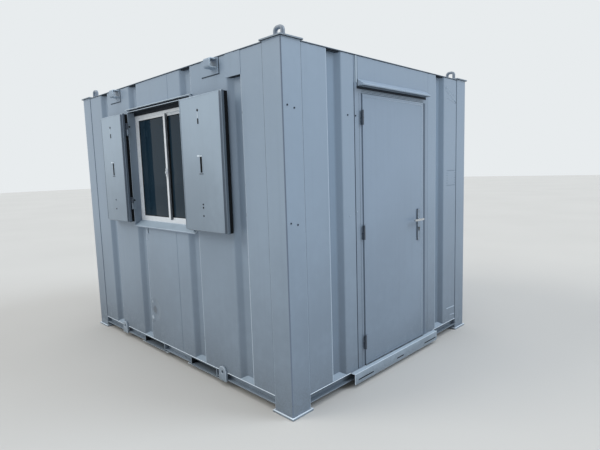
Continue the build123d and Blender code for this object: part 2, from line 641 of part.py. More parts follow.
def pane(x_span, stile_left, stile_right, y_span):
    """A pane of glass that fills a sash."""
    middle = sum(y_span) / 2
    glass_x = (x_span[0] + stile_left, x_span[1] - stile_right)
    glass_z = (sash_z[0] + SASH_RAIL, sash_z[1] - SASH_RAIL)
    block(glass_x, (middle - GLASS_T / 2, middle + GLASS_T / 2), glass_z)


with BuildPart() as window_glass:
    pane(outer_sash_x, SASH_STILE, SASH_MEETING_STILE, outer_sash_y)
    pane(inner_sash_x, SASH_MEETING_STILE, SASH_STILE, inner_sash_y)
save(window_glass.part, "window_glass")


def hinge_halves(height, centres):
    """The fixed lower half and the moving upper half of each hinge, as height spans."""
    for centre in centres:
        lower = (centre - height / 2, centre - HINGE_END_GAP / 2)
        upper = (centre + HINGE_END_GAP / 2, centre + height / 2)
        yield lower, upper


def upright_cylinder(x, y, radius, z_span, mode=Mode.ADD):
    """A cylinder that stands on one spot over a height."""
    with BuildSketch(Plane.XY.offset(z_span[0])) as disc:
        with Locations((x, y)):
            Circle(radius)
    extrude(disc.sketch, amount=z_span[1] - z_span[0], mode=mode)


def pin_and_lower_knuckle(x, y, web_x, web_y, height, centres):
    """The fixed halves of a row of hinges: knuckle, web and the pin that stands in it."""
    for lower, upper in hinge_halves(height, centres):
        upright_cylinder(x, y, HINGE_RADIUS, lower)
        block(web_x, web_y, lower)
        upright_cylinder(x, y, HINGE_PIN_RADIUS, (lower[0], upper[1]))


def upper_knuckle(x, y, web_x, web_y, height, centres):
    """The moving halves of a row of hinges, bored for the pin."""
    bore = HINGE_PIN_RADIUS + HINGE_BORE_CLEARANCE
    for _, upper in hinge_halves(height, centres):
        upright_cylinder(x, y, HINGE_RADIUS, upper)
        block(web_x, web_y, upper)
        upright_cylinder(x, y, bore, upper, Mode.SUBTRACT)


# Shutters, each a shallow steel tray nested in another, shown folded back against the wall
shutter_y = (WALL_FRONT - SHUTTER_BACK_PROUD - SHUTTER_T, WALL_FRONT - SHUTTER_BACK_PROUD)
shutter_sides = (("left", -1, SHUTTER_LEFT_WIDTH), ("right", 1, SHUTTER_RIGHT_WIDTH))
for name, side, width in shutter_sides:
    pin_x = X_MID + side * SHUTTER_PIN_X
    hinge_edge = pin_x + side * SHUTTER_PIN_GAP
    free_edge = hinge_edge + side * width
    step = SHUTTER_STEP
    with BuildPart() as shutter:
        outer_y = (shutter_y[1] - SHUTTER_OUTER_T, shutter_y[1])
        block((hinge_edge, free_edge), outer_y, (SHUTTER_BOTTOM, SHUTTER_TOP))
        inner_x = (hinge_edge + side * step, free_edge - side * step)
        inner_z = (SHUTTER_BOTTOM + step, SHUTTER_TOP - step)
        block(inner_x, (shutter_y[0], outer_y[0]), inner_z)
        slot_x = (hinge_edge + free_edge) / 2
        slot_span = (slot_x - SLOT_WIDTH / 2, slot_x + SLOT_WIDTH / 2)
        slot_z = (SLOT_Z - SLOT_HEIGHT / 2, SLOT_Z + SLOT_HEIGHT / 2)
        block(slot_span, (shutter_y[0], shutter_y[0] + SLOT_DEPTH), slot_z, Mode.SUBTRACT)
    save(shutter.part, f"shutter_{name}")

    with BuildPart() as knuckle:
        web_x = (pin_x + side * (HINGE_RADIUS - HINGE_WEB_T), pin_x + side * HINGE_RADIUS)
        web_y = (shutter_y[1], SHUTTER_PIN_Y)
        upper_knuckle(pin_x, SHUTTER_PIN_Y, web_x, web_y, HINGE_LENGTH, SHUTTER_HINGE_Z)
    save(knuckle.part, f"shutter_knuckle_{name}")

# Fixed halves of the shutters' hinges, on the front edges of the jambs
with BuildPart() as shutter_hinges:
    for side in (-1, 1):
        pin_x = X_MID + side * SHUTTER_PIN_X
        web_x = (X_MID + side * WINDOW_HALF_WIDTH, X_MID + side * opening_half)
        web_y = (SHUTTER_PIN_Y, reveal_y[0])
        pin_and_lower_knuckle(pin_x, SHUTTER_PIN_Y, web_x, web_y, HINGE_LENGTH, SHUTTER_HINGE_Z)
save(shutter_hinges.part, "shutter_hinges")

# Door frame, with a stop all round behind the leaf
frame_x = (X_DOOR_END - ROOM_DEPTH, X_DOOR_END - WALL_SETBACK)
with BuildPart() as door_frame:
    block(frame_x, over_y, (RAIL_TOP, DOOR_FRAME_TOP))
    rebate_y = (Y_MID - DOOR_FRAME_OPENING, Y_MID + DOOR_FRAME_OPENING)
    block(frame_x, rebate_y, (RAIL_TOP, DOOR_TOP + DOOR_GAP), Mode.SUBTRACT)
    stop_x = (frame_x[0], DOOR_STOP_X)
    block(stop_x, rebate_y, (RAIL_TOP, DOOR_TOP + DOOR_GAP))
    clear_y = (rebate_y[0] + DOOR_STOP_WIDTH, rebate_y[1] - DOOR_STOP_WIDTH)
    block(stop_x, clear_y, (RAIL_TOP, DOOR_TOP - DOOR_STOP_WIDTH), Mode.SUBTRACT)
save(door_frame.part, "door_frame")

# Door leaf, a steel pan with a raised border, bored for the lever's spindle
leaf_y = (Y_MID - DOOR_HALF_WIDTH, Y_MID + DOOR_HALF_WIDTH)
leaf_z = (DOOR_BOTTOM, DOOR_TOP)
leaf_x = (X_DOOR_END - DOOR_T, X_DOOR_END)
lever_y = Y_MID + HANDLE_Y
lever_plane = Plane(origin=(leaf_x[0], lever_y, LEVER_Z), x_dir=(0, 1, 0), z_dir=(1, 0, 0))
with BuildPart() as door_leaf:
    block(leaf_x, leaf_y, leaf_z)
    border_x = (leaf_x[1], leaf_x[1] + DOOR_BORDER_PROUD)
    block(border_x, leaf_y, leaf_z)
    field_y = (leaf_y[0] + DOOR_BORDER, leaf_y[1] - DOOR_BORDER)
    block(border_x, field_y, (leaf_z[0] + DOOR_BORDER, leaf_z[1] - DOOR_BORDER), Mode.SUBTRACT)
    with BuildSketch(lever_plane):
        Circle(SPINDLE_RADIUS + SPINDLE_CLEARANCE)
    extrude(amount=DOOR_T, mode=Mode.SUBTRACT)
save(door_leaf.part, "door_leaf")

# Door hinges
door_pin_x = X_DOOR_END + DOOR_PIN_PROUD
door_pin_y = Y_MID - DOOR_PIN_Y
with BuildPart() as door_hinges:
    web_x = (frame_x[1], door_pin_x)
    web_y = (door_pin_y - HINGE_RADIUS, door_pin_y - HINGE_RADIUS + HINGE_WEB_T)
    pin_and_lower_knuckle(door_pin_x, door_pin_y, web_x, web_y, HINGE_LENGTH, DOOR_HINGE_Z)
save(door_hinges.part, "door_hinges")

with BuildPart() as door_knuckles:
    web_x = (leaf_x[1] + DOOR_BORDER_PROUD, leaf_x[1] + DOOR_BORDER_PROUD + HINGE_WEB_T)
    web_y = (door_pin_y, leaf_y[0] + DOOR_BORDER)
    upper_knuckle(door_pin_x, door_pin_y, web_x, web_y, HINGE_LENGTH, DOOR_HINGE_Z)
save(door_knuckles.part, "door_knuckles")


def handle_plate(face_x, outward):
    """A rounded plate on one face of the leaf, bored for the spindle."""
    middle_z = (HANDLE_PLATE_BOTTOM + HANDLE_PLATE_TOP) / 2
    plane = Plane(origin=(face_x, lever_y, middle_z), x_dir=(0, outward, 0), z_dir=(outward, 0, 0))
    with BuildSketch(plane) as outline:
        height = HANDLE_PLATE_TOP - HANDLE_PLATE_BOTTOM
        SlotOverall(height, HANDLE_PLATE_WIDTH, rotation=90)
        with Locations((0, LEVER_Z - middle_z)):
            Circle(SPINDLE_RADIUS + SPINDLE_CLEARANCE, mode=Mode.SUBTRACT)
    extrude(outline.sketch, amount=HANDLE_PLATE_T)


with BuildPart() as handle_plates:
    handle_plate(leaf_x[1], 1)
    handle_plate(leaf_x[0], -1)
save(handle_plates.part, "handle_plates")

with BuildPart() as lock_cylinder:
    cylinder_plane = Plane(
        origin=(leaf_x[1] + HANDLE_PLATE_T, lever_y, CYLINDER_Z), x_dir=(0, 1, 0), z_dir=(1, 0, 0)
    )
    with BuildSketch(cylinder_plane):
        Circle(CYLINDER_RADIUS)
    extrude(amount=CYLINDER_PROUD)
save(lock_cylinder.part, "lock_cylinder")

# Lever on both faces of the leaf, on one spindle
lever_back = leaf_x[0] - HANDLE_PLATE_T - LEVER_STANDOFF
lever_front = leaf_x[1] + HANDLE_PLATE_T + LEVER_STANDOFF
with BuildPart() as door_lever:
    with BuildSketch(Plane(origin=(lever_back, lever_y, LEVER_Z), x_dir=(0, 1, 0), z_dir=(1, 0, 0))):
        Circle(SPINDLE_RADIUS)
    extrude(amount=lever_front - lever_back)
    for face_x, outward in ((lever_front, 1), (lever_back, -1)):
        grip_plane = Plane(origin=(face_x, lever_y, LEVER_Z), x_dir=(0, 1, 0), z_dir=(outward, 0, 0))
        with BuildSketch(grip_plane):
            with Locations((-(LEVER_LENGTH - LEVER_THICKNESS) / 2, 0)):
                SlotOverall(LEVER_LENGTH, LEVER_THICKNESS)
        extrude(amount=LEVER_THICKNESS)
save(door_lever.part, "door_lever")

# Hood over the door, a folded sheet with closed ends
hood_face = X_DOOR_END - WALL_SETBACK
hood_lip = X_DOOR_END + HOOD_OUT
hood_plane = Plane(origin=(0, Y_MID, 0), x_dir=(1, 0, 0), z_dir=(0, -1, 0))
hood_slope = HOOD_FALL / (hood_lip - hood_face)
hood_upright_steel = HOOD_STEEL * math.hypot(1, hood_slope)
hood_inside_lip = hood_lip - HOOD_STEEL
with BuildPart() as door_hood:
    with BuildSketch(hood_plane):
        with BuildLine():
            Polyline(
                (hood_face, HOOD_TOP),
                (hood_lip, HOOD_LIP_TOP),
                (hood_lip, HOOD_LIP_BOTTOM),
                (hood_face, HOOD_LIP_BOTTOM),
                close=True,
            )
        make_face()
    extrude(amount=HOOD_HALF_WIDTH, both=True)
    with BuildSketch(hood_plane):
        with BuildLine():
            Polyline(
                (hood_face, HOOD_TOP - hood_upright_steel),
                (hood_inside_lip, HOOD_LIP_TOP + HOOD_STEEL * hood_slope - hood_upright_steel),
                (hood_inside_lip, HOOD_LIP_BOTTOM),
                (hood_face, HOOD_LIP_BOTTOM),
                close=True,
            )
        make_face()
    extrude(amount=HOOD_HALF_WIDTH - HOOD_STEEL, both=True, mode=Mode.SUBTRACT)
save(door_hood.part, "door_hood")

# Threshold angle under the door, with three slots in its face
with BuildPart() as threshold:
    step_x = (X_DOOR_END, X_DOOR_END + THRESHOLD_OUT)
    step_y = (Y_MID - THRESHOLD_HALF_WIDTH, Y_MID + THRESHOLD_HALF_WIDTH)
    block(step_x, step_y, (THRESHOLD_TOP - THRESHOLD_STEEL, THRESHOLD_TOP))
    face_x = (step_x[1] - THRESHOLD_STEEL, step_x[1])
    block(face_x, step_y, (THRESHOLD_BOTTOM, THRESHOLD_TOP))
    slot_z = (THRESHOLD_SLOT_Z - THRESHOLD_SLOT_HEIGHT / 2, THRESHOLD_SLOT_Z + THRESHOLD_SLOT_HEIGHT / 2)
    for centre, length in THRESHOLD_SLOTS:
        slot_y = (Y_MID + centre - length / 2, Y_MID + centre + length / 2)
        block(face_x, slot_y, slot_z, Mode.SUBTRACT)
save(threshold.part, "threshold")

# Lugs on the long rails, each a round-topped plate with a hole
with BuildPart() as rail_lugs:
    for face_y, outward in ((Y_FRONT, -1), (Y_BACK, 1)):
        for centre in LUG_X:
            lug_foot = (X_MID + centre, face_y, 0)
            shoulder = LUG_TOP - LUG_WIDTH / 2
            with BuildSketch(Plane(origin=lug_foot, x_dir=(-outward, 0, 0), z_dir=(0, outward, 0))):
                with Locations((0, (LUG_BOTTOM + shoulder) / 2)):
                    Rectangle(LUG_WIDTH, shoulder - LUG_BOTTOM)
                with Locations((0, shoulder)):
                    Circle(LUG_WIDTH / 2)
                with Locations((0, LUG_HOLE_Z)):
                    Circle(LUG_HOLE_RADIUS, mode=Mode.SUBTRACT)
            extrude(amount=LUG_T)
save(rail_lugs.part, "rail_lugs")

# Loops near the top of the long walls, each a bent strap on a plate
with BuildPart() as bracket_plates:
    for wall_y, outward in ((WALL_FRONT, -1), (Y_BACK - WALL_SETBACK, 1)):
        for centre in BRACKET_X:
            half = BRACKET_PLATE_WIDTH / 2
            plate_y = (wall_y, wall_y + outward * BRACKET_PLATE_T)
            block((X_MID + centre - half, X_MID + centre + half), plate_y, (BRACKET_PLATE_BOTTOM, WALL_TOP))
save(bracket_plates.part, "bracket_plates")

with BuildPart() as wall_loops:
    for wall_y, outward in ((WALL_FRONT, -1), (Y_BACK - WALL_SETBACK, 1)):
        for centre in BRACKET_X:
            loop_foot = (X_MID + centre + LOOP_SHIFT, wall_y + outward * BRACKET_PLATE_T, LOOP_BOTTOM)
            loop_plane = Plane(origin=loop_foot, x_dir=(0, outward, 0), z_dir=(outward, 0, 0))
            with BuildSketch(loop_plane) as loop:
                with Locations((LOOP_REACH / 2, LOOP_HEIGHT / 2)):
                    Rectangle(LOOP_REACH, LOOP_HEIGHT)
                with Locations(((LOOP_REACH - LOOP_STEEL) / 2, LOOP_HEIGHT / 2)):
                    Rectangle(LOOP_REACH - LOOP_STEEL, LOOP_HEIGHT - 2 * LOOP_STEEL, mode=Mode.SUBTRACT)
                fillet(loop.vertices().group_by(Axis.X)[1], radius=LOOP_CORNER - LOOP_STEEL)
                fillet(loop.vertices().group_by(Axis.X)[-1], radius=LOOP_CORNER)
            extrude(amount=LOOP_WIDTH / 2, both=True)
save(wall_loops.part, "wall_loops")
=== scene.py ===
"""Looks of the portable site cabin: paint, folded steel, fittings, window, room and studio.

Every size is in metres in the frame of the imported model: +X out of the door end, -Y out of the window
wall and +Z up, with the origin on the ground under the middle of the cabin. A piece that stands for a
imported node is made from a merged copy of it, so it stays where the node is.
"""

import logging
import math
from collections.abc import Callable, Iterator, Sequence
from contextlib import contextmanager
from dataclasses import dataclass
from enum import Enum

import bmesh
import bpy
from mathutils import Matrix, Vector


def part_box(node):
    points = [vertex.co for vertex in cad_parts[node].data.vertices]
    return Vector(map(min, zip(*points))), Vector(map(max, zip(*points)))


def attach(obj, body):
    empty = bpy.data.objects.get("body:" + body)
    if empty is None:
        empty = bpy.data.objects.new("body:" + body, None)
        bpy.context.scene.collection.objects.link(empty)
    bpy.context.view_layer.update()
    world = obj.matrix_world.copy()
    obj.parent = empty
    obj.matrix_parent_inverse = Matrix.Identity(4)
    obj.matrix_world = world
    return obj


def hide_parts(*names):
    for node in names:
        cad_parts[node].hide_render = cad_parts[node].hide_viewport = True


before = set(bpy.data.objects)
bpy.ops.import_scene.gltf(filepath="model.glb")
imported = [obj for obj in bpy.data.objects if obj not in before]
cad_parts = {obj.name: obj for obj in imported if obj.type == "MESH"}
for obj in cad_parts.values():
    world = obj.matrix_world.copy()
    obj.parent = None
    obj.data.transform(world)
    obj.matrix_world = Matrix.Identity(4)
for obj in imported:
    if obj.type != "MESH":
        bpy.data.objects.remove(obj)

log = logging.getLogger("site_cabin")

Colour = tuple[float, float, float]
Span = tuple[float, float]
Point = tuple[float, float, float]
Piece = bpy.types.Object
EdgeTest = Callable[[Vector, Vector], bool]
FaceTest = Callable[[Vector, Vector], bool]
Run = tuple[Sequence[float], Sequence[float]]
BeadRun = tuple[Sequence[float], Sequence[float], float]
EdgeMark = tuple[Span, Span, float]
Sash = tuple[str, float, float, float]

SHARP = math.radians(25)
WELD_RIPPLE = 0.008
WELD_SIDES = 7
FIXING_SIDES = 14
FINISH_SLOTS = 4
WELD_UNEVENNESS = 0.3
WELD_SMOOTHING = 60.0
FIXING_SINK = 0.9
MERGE_DISTANCE = 0.00002
FLAT_ANGLE = math.radians(0.6)
POST_FACE = 0.172
UPRIGHT = 0.99
STRAIGHT = 0.9
SLANTED = 0.5
WHOLE_CABIN = "cabin"


def srgb(red: int, green: int, blue: int) -> Colour:
    """Turn an eight-bit display colour into the linear colour that shaders use."""
    levels = (value / 255 for value in (red, green, blue))
    linear = [level / 12.92 if level < 0.04045 else ((level + 0.055) / 1.055) ** 2.4 for level in levels]
    return linear[0], linear[1], linear[2]


class Signal:
    """A shader socket whose arithmetic adds Math nodes to its tree."""

    def __init__(self, recipe: "NodeTree", socket: bpy.types.NodeSocket) -> None:
        """Keep the socket and the tree that it belongs to."""
        self.recipe = recipe
        self.socket = socket

    def math(self, operation: str, *others: "Signal | float") -> "Signal":
        """Apply one Math operation to this value and the others."""
        values = dict(enumerate((self, *others)))
        return self.recipe.node("Math", {"operation": operation}, values)

    def __add__(self, other: "Signal | float") -> "Signal":
        """Add a value."""
        return self.math("ADD", other)

    def __sub__(self, other: "Signal | float") -> "Signal":
        """Subtract a value."""
        return self.math("SUBTRACT", other)

    def __rsub__(self, other: float) -> "Signal":
        """Subtract this value from a number."""
        return self.recipe.node("Math", {"operation": "SUBTRACT"}, {0: other, 1: self})

    def __mul__(self, other: "Signal | float") -> "Signal":
        """Multiply by a value."""
        return self.math("MULTIPLY", other)

    __radd__ = __add__
    __rmul__ = __mul__


class NodeTree:
    """A node tree of a material or of the world, with a short way to add nodes."""

    def __init__(self, tree: bpy.types.NodeTree) -> None:
        """Empty the tree."""
        self.tree = tree
        self.tree.nodes.clear()

    def node(self, kind: str, settings: dict, inputs: dict, output: int | str = 0) -> Signal:
        """Add one node with its settings and its inputs, values or signals, and give one of its outputs."""
        node = self.tree.nodes.new(f"ShaderNode{kind}")
        for key, setting in settings.items():
            setattr(node, key, setting)
        for key, value in inputs.items():
            if isinstance(value, Signal):
                self.tree.links.new(value.socket, node.inputs[key])
            elif isinstance(value, tuple) and len(node.inputs[key].default_value) == 4:
                node.inputs[key].default_value = (*value, 1.0)
            else:
                node.inputs[key].default_value = value
        return Signal(self, node.outputs[output] if node.outputs else None)


class Recipe(NodeTree):
    """The nodes of one material, with short ways to add noise, steps and blends."""

    def __init__(self, name: str) -> None:
        """Start an empty material and the piece's own coordinates."""
        self.material = bpy.data.materials.new(name)
        self.material.use_nodes = True
        super().__init__(self.material.node_tree)
        self.place = self.node("TexCoord", {}, {}, "Object")

    def axis(self, name: str) -> Signal:
        """One of the piece's own coordinates, "X", "Y" or "Z"."""
        return self.node("SeparateXYZ", {}, {0: self.place}, name)

    def noise(self, scale: float, detail: float = 2.0, stretch: Point = (1.0, 1.0, 1.0)) -> Signal:
        """Cloudy noise about 0.5, by clouds to the metre, finer layers and factors on the coordinates."""
        place = self.node("VectorMath", {"operation": "MULTIPLY"}, {0: self.place, 1: stretch})
        inputs = {"Vector": place, "Scale": scale, "Detail": detail}
        return self.node("TexNoise", {}, inputs, "Fac")

    def cells(self, scale: float) -> Signal:
        """Distance to the nearest of many scattered points, for specks and chips."""
        return self.node("TexVoronoi", {}, {"Vector": self.place, "Scale": scale}, "Distance")

    def rise(self, value: Signal, low: float, high: float) -> Signal:
        """A smooth step from 0 at low to 1 at high."""
        settings = {"interpolation_type": "SMOOTHSTEP"}
        return self.node("MapRange", settings, {0: value, 1: low, 2: high})

    def fall(self, value: Signal, low: float, high: float) -> Signal:
        """A smooth step from 1 at low to 0 at high."""
        return 1.0 - self.rise(value, low, high)

    def near(self, centre: Point, reach: float, rough: Signal) -> Signal:
        """A spot round one place, faded out at its reach, with a rim made ragged by noise."""
        settings = {"operation": "DISTANCE"}
        distance = self.node("VectorMath", settings, {0: self.place, 1: centre}, "Value")
        return self.fall(distance + (rough - 0.5) * reach, reach * 0.4, reach)

    def blend(self, first: "Signal | Colour", second: "Signal | Colour", amount: Signal) -> Signal:
        """Mix two colours by an amount from 0 to 1."""
        return self.node("Mix", {"data_type": "RGBA"}, {0: amount, 6: first, 7: second}, 2)

    def finish(self, looks: dict, height: Signal | None = None) -> bpy.types.Material:
        """Close the recipe with its surface, by socket name, and with its relief in metres."""
        if height is not None:
            inputs = {"Strength": 1.0, "Distance": 1.0, "Height": height}
            looks = {**looks, "Normal": self.node("Bump", {}, inputs)}
        surface = self.node("BsdfPrincipled", {}, looks)
        self.node("OutputMaterial", {}, {"Surface": surface})
        return self.material


@dataclass(frozen=True)
class Mark:
    """A place on the paint that has been knocked: a shallow dent, and a chip of a colour in it."""

    place: Point
    reach: float
    depth: float = 0.0
    chip: float = 0.0
    colour: Colour = srgb(84, 93, 103)


@dataclass(frozen=True)
class SitePaint:
    """Blue-grey gloss paint on steel, lighter towards the top and darker towards the ground."""

    name: str
    high: Colour
    low: Colour
    grime: Colour = srgb(92, 95, 95)
    under: Colour = srgb(80, 86, 92)
    gloss_roughness: float = 0.34
    turn_low: float = -0.1
    turn_high: float = 1.8
    splash_height: float = 0.42
    splash: float = 0.34
    streaks: float = 0.05
    clouds: float = 0.32
    specks: float = 0.2
    wave: float = 0.0012
    peel: float = 0.00004
    marks: tuple[Mark, ...] = ()

    def material(self) -> bpy.types.Material:
        """Write the paint's nodes."""
        mix = Recipe(self.name)
        height = mix.axis("Z")
        broad = mix.noise(1.4, 3.0)
        fine = mix.noise(14.0, 5.0)
        grain = mix.noise(90.0, 3.0)
        runs = mix.noise(1.0, 4.0, (30.0, 30.0, 0.7))
        toward_top = mix.rise(height + (broad - 0.5) * 0.6, self.turn_low, self.turn_high)
        colour = mix.blend(self.low, self.high, toward_top)
        lighter = tuple(min(1.0, level * 1.16 + 0.012) for level in self.high)
        darker = tuple(level * 0.78 for level in self.low)
        cloudy = mix.rise(broad * 0.6 + fine * 0.4, 0.42, 0.66)
        colour = mix.blend(colour, lighter, cloudy * (0.38 * self.clouds))
        colour = mix.blend(colour, darker, mix.rise(runs, 0.5, 0.72) * self.streaks)
        colour = mix.blend(colour, lighter, mix.fall(runs, 0.28, 0.46) * (self.streaks * 0.6))
        splash = mix.fall(height + (fine - 0.5) * 0.35, 0.06, self.splash_height)
        splash = splash * mix.rise(fine * 0.6 + grain * 0.4, 0.36, 0.62)
        colour = mix.blend(colour, self.grime, splash * self.splash)
        specks = mix.fall(mix.cells(24.0), 0.05, 0.11) * mix.rise(fine, 0.55, 0.7)
        colour = mix.blend(colour, self.under, specks * self.specks)
        relief = grain * self.peel + mix.noise(2.6, 1.0) * self.wave - specks * 0.0002
        for mark in self.marks:
            dent = mix.near(mark.place, mark.reach, broad)
            relief = relief - dent * mark.depth
            if mark.chip:
                chip = mix.near(mark.place, mark.reach * 0.5, grain) * mark.chip
                colour = mix.blend(colour, mark.colour, chip)
        rough = self.gloss_roughness + (fine - 0.5) * 0.16 + splash * 0.3 + (1.0 - toward_top) * 0.06
        looks = {"Base Color": colour, "Roughness": rough, "Specular IOR Level": 0.5}
        return mix.finish(looks, relief)


@dataclass(frozen=True)
class EdgeWearAndPaintedLight:
    """The same paint along a bend or a cut edge, rubbed through in places, in a colour of its own: paler than
    the face where it is a painted highlight, darker where it is painted shade.
    """

    name: str
    paint: Colour
    metal: Colour = srgb(116, 125, 134)
    share: float = 0.05

    def material(self) -> bpy.types.Material:
        """Write the nodes of the rubbed edge."""
        mix = Recipe(self.name)
        fine = mix.noise(38.0, 4.0)
        worn = mix.rise(fine + mix.noise(3.0) * 0.3, 0.78 - self.share, 0.86 - self.share)
        colour = mix.blend(self.paint, self.metal, worn * 0.75)
        looks = {"Base Color": colour, "Roughness": 0.4 + worn * 0.25, "Metallic": worn * 0.1}
        return mix.finish(looks, fine * 0.0003)


@dataclass(frozen=True)
class SheetProfile:
    """White window profile, slightly chalky, with dirt in its lower corners."""

    name: str
    face: Colour = srgb(226, 232, 238)
    dirt: Colour = srgb(164, 172, 180)

    def material(self) -> bpy.types.Material:
        """Write the nodes of the white profile."""
        mix = Recipe(self.name)
        fine = mix.noise(26.0, 4.0)
        low = mix.fall(mix.axis("Z") + fine * 0.2, 1.22, 1.46)
        patchy = mix.rise(fine, 0.45, 0.75)
        colour = mix.blend(self.face, self.dirt, patchy * 0.22 + low * 0.2)
        looks = {"Base Color": colour, "Roughness": 0.32 + patchy * 0.2}
        return mix.finish(looks, mix.noise(120.0) * 0.00004)


@dataclass(frozen=True)
class Glazing:
    """Glass with a film of dust, nine tenths opaque in a dark tint that is painted shade for the dim room
    behind, which shows through only a little.
    """

    name: str
    # The tint is painted shade: the dark of the unlit room, laid on the pane.
    tint: Colour = srgb(26, 46, 60)
    dust: Colour = srgb(84, 92, 94)

    def material(self) -> bpy.types.Material:
        """Write the nodes of the glass."""
        mix = Recipe(self.name)
        smear = mix.noise(5.0, 5.0, (1.0, 1.0, 0.4))
        film = mix.rise(smear, 0.5, 0.8)
        edge = mix.fall(mix.axis("Z") + smear * 0.1, 1.27, 1.42)
        colour = mix.blend(self.tint, self.dust, film * 0.1 + edge * 0.15)
        looks = {
            "Base Color": colour,
            "Roughness": 0.03 + film * 0.07,
            "Alpha": 0.9 + film * 0.05 + edge * 0.04,
            "Specular IOR Level": 0.15,
        }
        return mix.finish(looks, mix.noise(3.0, 1.0) * 0.0008)


@dataclass(frozen=True)
class FacedBoard:
    """Off-white faced wall board of the room, scuffed at hand and boot height."""

    name: str
    face: Colour = srgb(214, 211, 200)
    scuff: Colour = srgb(158, 152, 140)

    def material(self) -> bpy.types.Material:
        """Write the nodes of the board."""
        mix = Recipe(self.name)
        fine = mix.noise(20.0, 5.0, (1.0, 1.0, 0.5))
        broad = mix.noise(1.8, 3.0)
        boots = mix.fall(mix.axis("Z") + broad * 0.3, 0.2, 0.7) * mix.rise(fine, 0.42, 0.7)
        colour = mix.blend(self.face, self.scuff, boots * 0.55 + mix.rise(broad, 0.5, 0.75) * 0.14)
        looks = {"Base Color": colour, "Roughness": 0.5 + boots * 0.2}
        return mix.finish(looks, mix.noise(160.0, 2.0) * 0.00008)


class Grain(Enum):
    """The axis that a board's grain runs along, as stretch factors on its coordinates."""

    ALONG_X = (1.2, 16.0, 16.0)
    ALONG_Y = (16.0, 1.2, 16.0)


@dataclass(frozen=True)
class Board:
    """Wood with grain along one axis: sawn joists and beams, or the sealed deck."""

    name: str
    pale: Colour
    dark: Colour
    grain: Grain = Grain.ALONG_Y
    roughness: float = 0.72
    tread: float = 0.0

    def material(self) -> bpy.types.Material:
        """Write the nodes of the wood."""
        mix = Recipe(self.name)
        lines = mix.noise(4.0, 5.0, self.grain.value)
        fibres = mix.noise(30.0, 3.0, self.grain.value)
        colour = mix.blend(self.pale, self.dark, mix.rise(lines, 0.36, 0.68))
        dust = mix.rise(mix.noise(2.2, 4.0), 0.4, 0.7) * self.tread
        colour = mix.blend(colour, srgb(126, 118, 106), dust)
        looks = {"Base Color": colour, "Roughness": self.roughness - dust * 0.1}
        return mix.finish(looks, lines * 0.0006 + fibres * 0.0003)


@dataclass(frozen=True)
class BareMetal:
    """Satin metal of the lever, its plates and the lock, with fine handling marks."""

    name: str
    face: Colour
    tarnish: Colour
    roughness: float = 0.26

    def material(self) -> bpy.types.Material:
        """Write the nodes of the metal."""
        mix = Recipe(self.name)
        marks = mix.noise(60.0, 5.0)
        dull = mix.rise(marks, 0.46, 0.7)
        colour = mix.blend(self.face, self.tarnish, dull * 0.5)
        looks = {"Base Color": colour, "Roughness": self.roughness + dull * 0.22, "Metallic": 0.85}
        return mix.finish(looks, marks * 0.00008)


@dataclass(frozen=True)
class Dull:
    """A dull dark surface, for rubber seals and for the dark strips, linings and backs that are painted shade
    in holes, gaps and recesses.
    """

    name: str
    face: Colour = srgb(20, 22, 25)
    dust: Colour = srgb(46, 50, 55)

    def material(self) -> bpy.types.Material:
        """Write the nodes of the dull surface."""
        mix = Recipe(self.name)
        fine = mix.noise(70.0, 4.0)
        dusty = mix.rise(fine, 0.5, 0.78)
        colour = mix.blend(self.face, self.dust, dusty * 0.35)
        looks = {"Base Color": colour, "Roughness": 0.6 + dusty * 0.25, "Specular IOR Level": 0.15}
        return mix.finish(looks, fine * 0.0002)


def edge_on_z(middle: Vector, along: Vector) -> bool:
    """Whether an edge stands upright."""
    return abs(along.z) > UPRIGHT


def any_edge(middle: Vector, along: Vector) -> bool:
    """Every edge."""
    return True


@dataclass(frozen=True)
class Bend:
    """One radius, put on the sharp edges that a test picks, in one of the piece's finishes."""

    width: float
    segments: int = 2
    test: EdgeTest = any_edge
    inside: bool = False
    finish: int = -1


def hold(piece: Piece) -> None:
    """Make one piece the only selected and the active one."""
    bpy.ops.object.select_all(action="DESELECT")
    piece.select_set(True)
    bpy.context.view_layer.objects.active = piece


@contextmanager
def editing(piece: Piece) -> Iterator[None]:
    """Open a piece in edit mode for the operators inside the block."""
    hold(piece)
    bpy.ops.object.mode_set(mode="EDIT")
    yield
    bpy.ops.object.mode_set(mode="OBJECT")


def pick_edges(piece: Piece, test: EdgeTest, sharp: float = SHARP, inside: bool = False) -> int:
    """Select the sharp edges that a test picks, in edit mode.

    Args:
        piece: The piece that is open.
        test: Takes an edge's middle and its direction.
        sharp: The least angle between its two faces.
        inside: Whether inward folds count as well as outward ones.

    Returns:
        How many edges are selected.
    """
    bpy.context.tool_settings.mesh_select_mode = (False, True, False)
    shape = bmesh.from_edit_mesh(piece.data)
    chosen = []
    for edge in shape.edges:
        edge.select_set(False)
        if len(edge.link_faces) != 2:
            continue
        angle = edge.calc_face_angle_signed()
        if angle < sharp and not (inside and angle < -sharp):
            continue
        start, end = (corner.co for corner in edge.verts)
        if test((start + end) / 2, (end - start).normalized()):
            chosen.append(edge)
    for face in shape.faces:
        face.select_set(False)
    for edge in chosen:
        edge.select_set(True)
    bmesh.update_edit_mesh(piece.data)
    return len(chosen)


def pick_faces(piece: Piece, test: FaceTest) -> None:
    """Select the faces that a test on centre and normal picks, in edit mode."""
    bpy.context.tool_settings.mesh_select_mode = (False, False, True)
    shape = bmesh.from_edit_mesh(piece.data)
    chosen = [face for face in shape.faces if test(face.calc_center_median(), face.normal)]
    for face in shape.faces:
        face.select_set(False)
    for face in chosen:
        face.select_set(True)
    bmesh.update_edit_mesh(piece.data)


def round_off(piece: Piece, bend: Bend) -> None:
    """Put one bend on a piece's edges."""
    with editing(piece):
        if pick_edges(piece, bend.test, inside=bend.inside):
            bpy.ops.mesh.bevel(
                offset=bend.width,
                segments=bend.segments,
                affect="EDGES",
                clamp_overlap=True,
                material=bend.finish,
            )


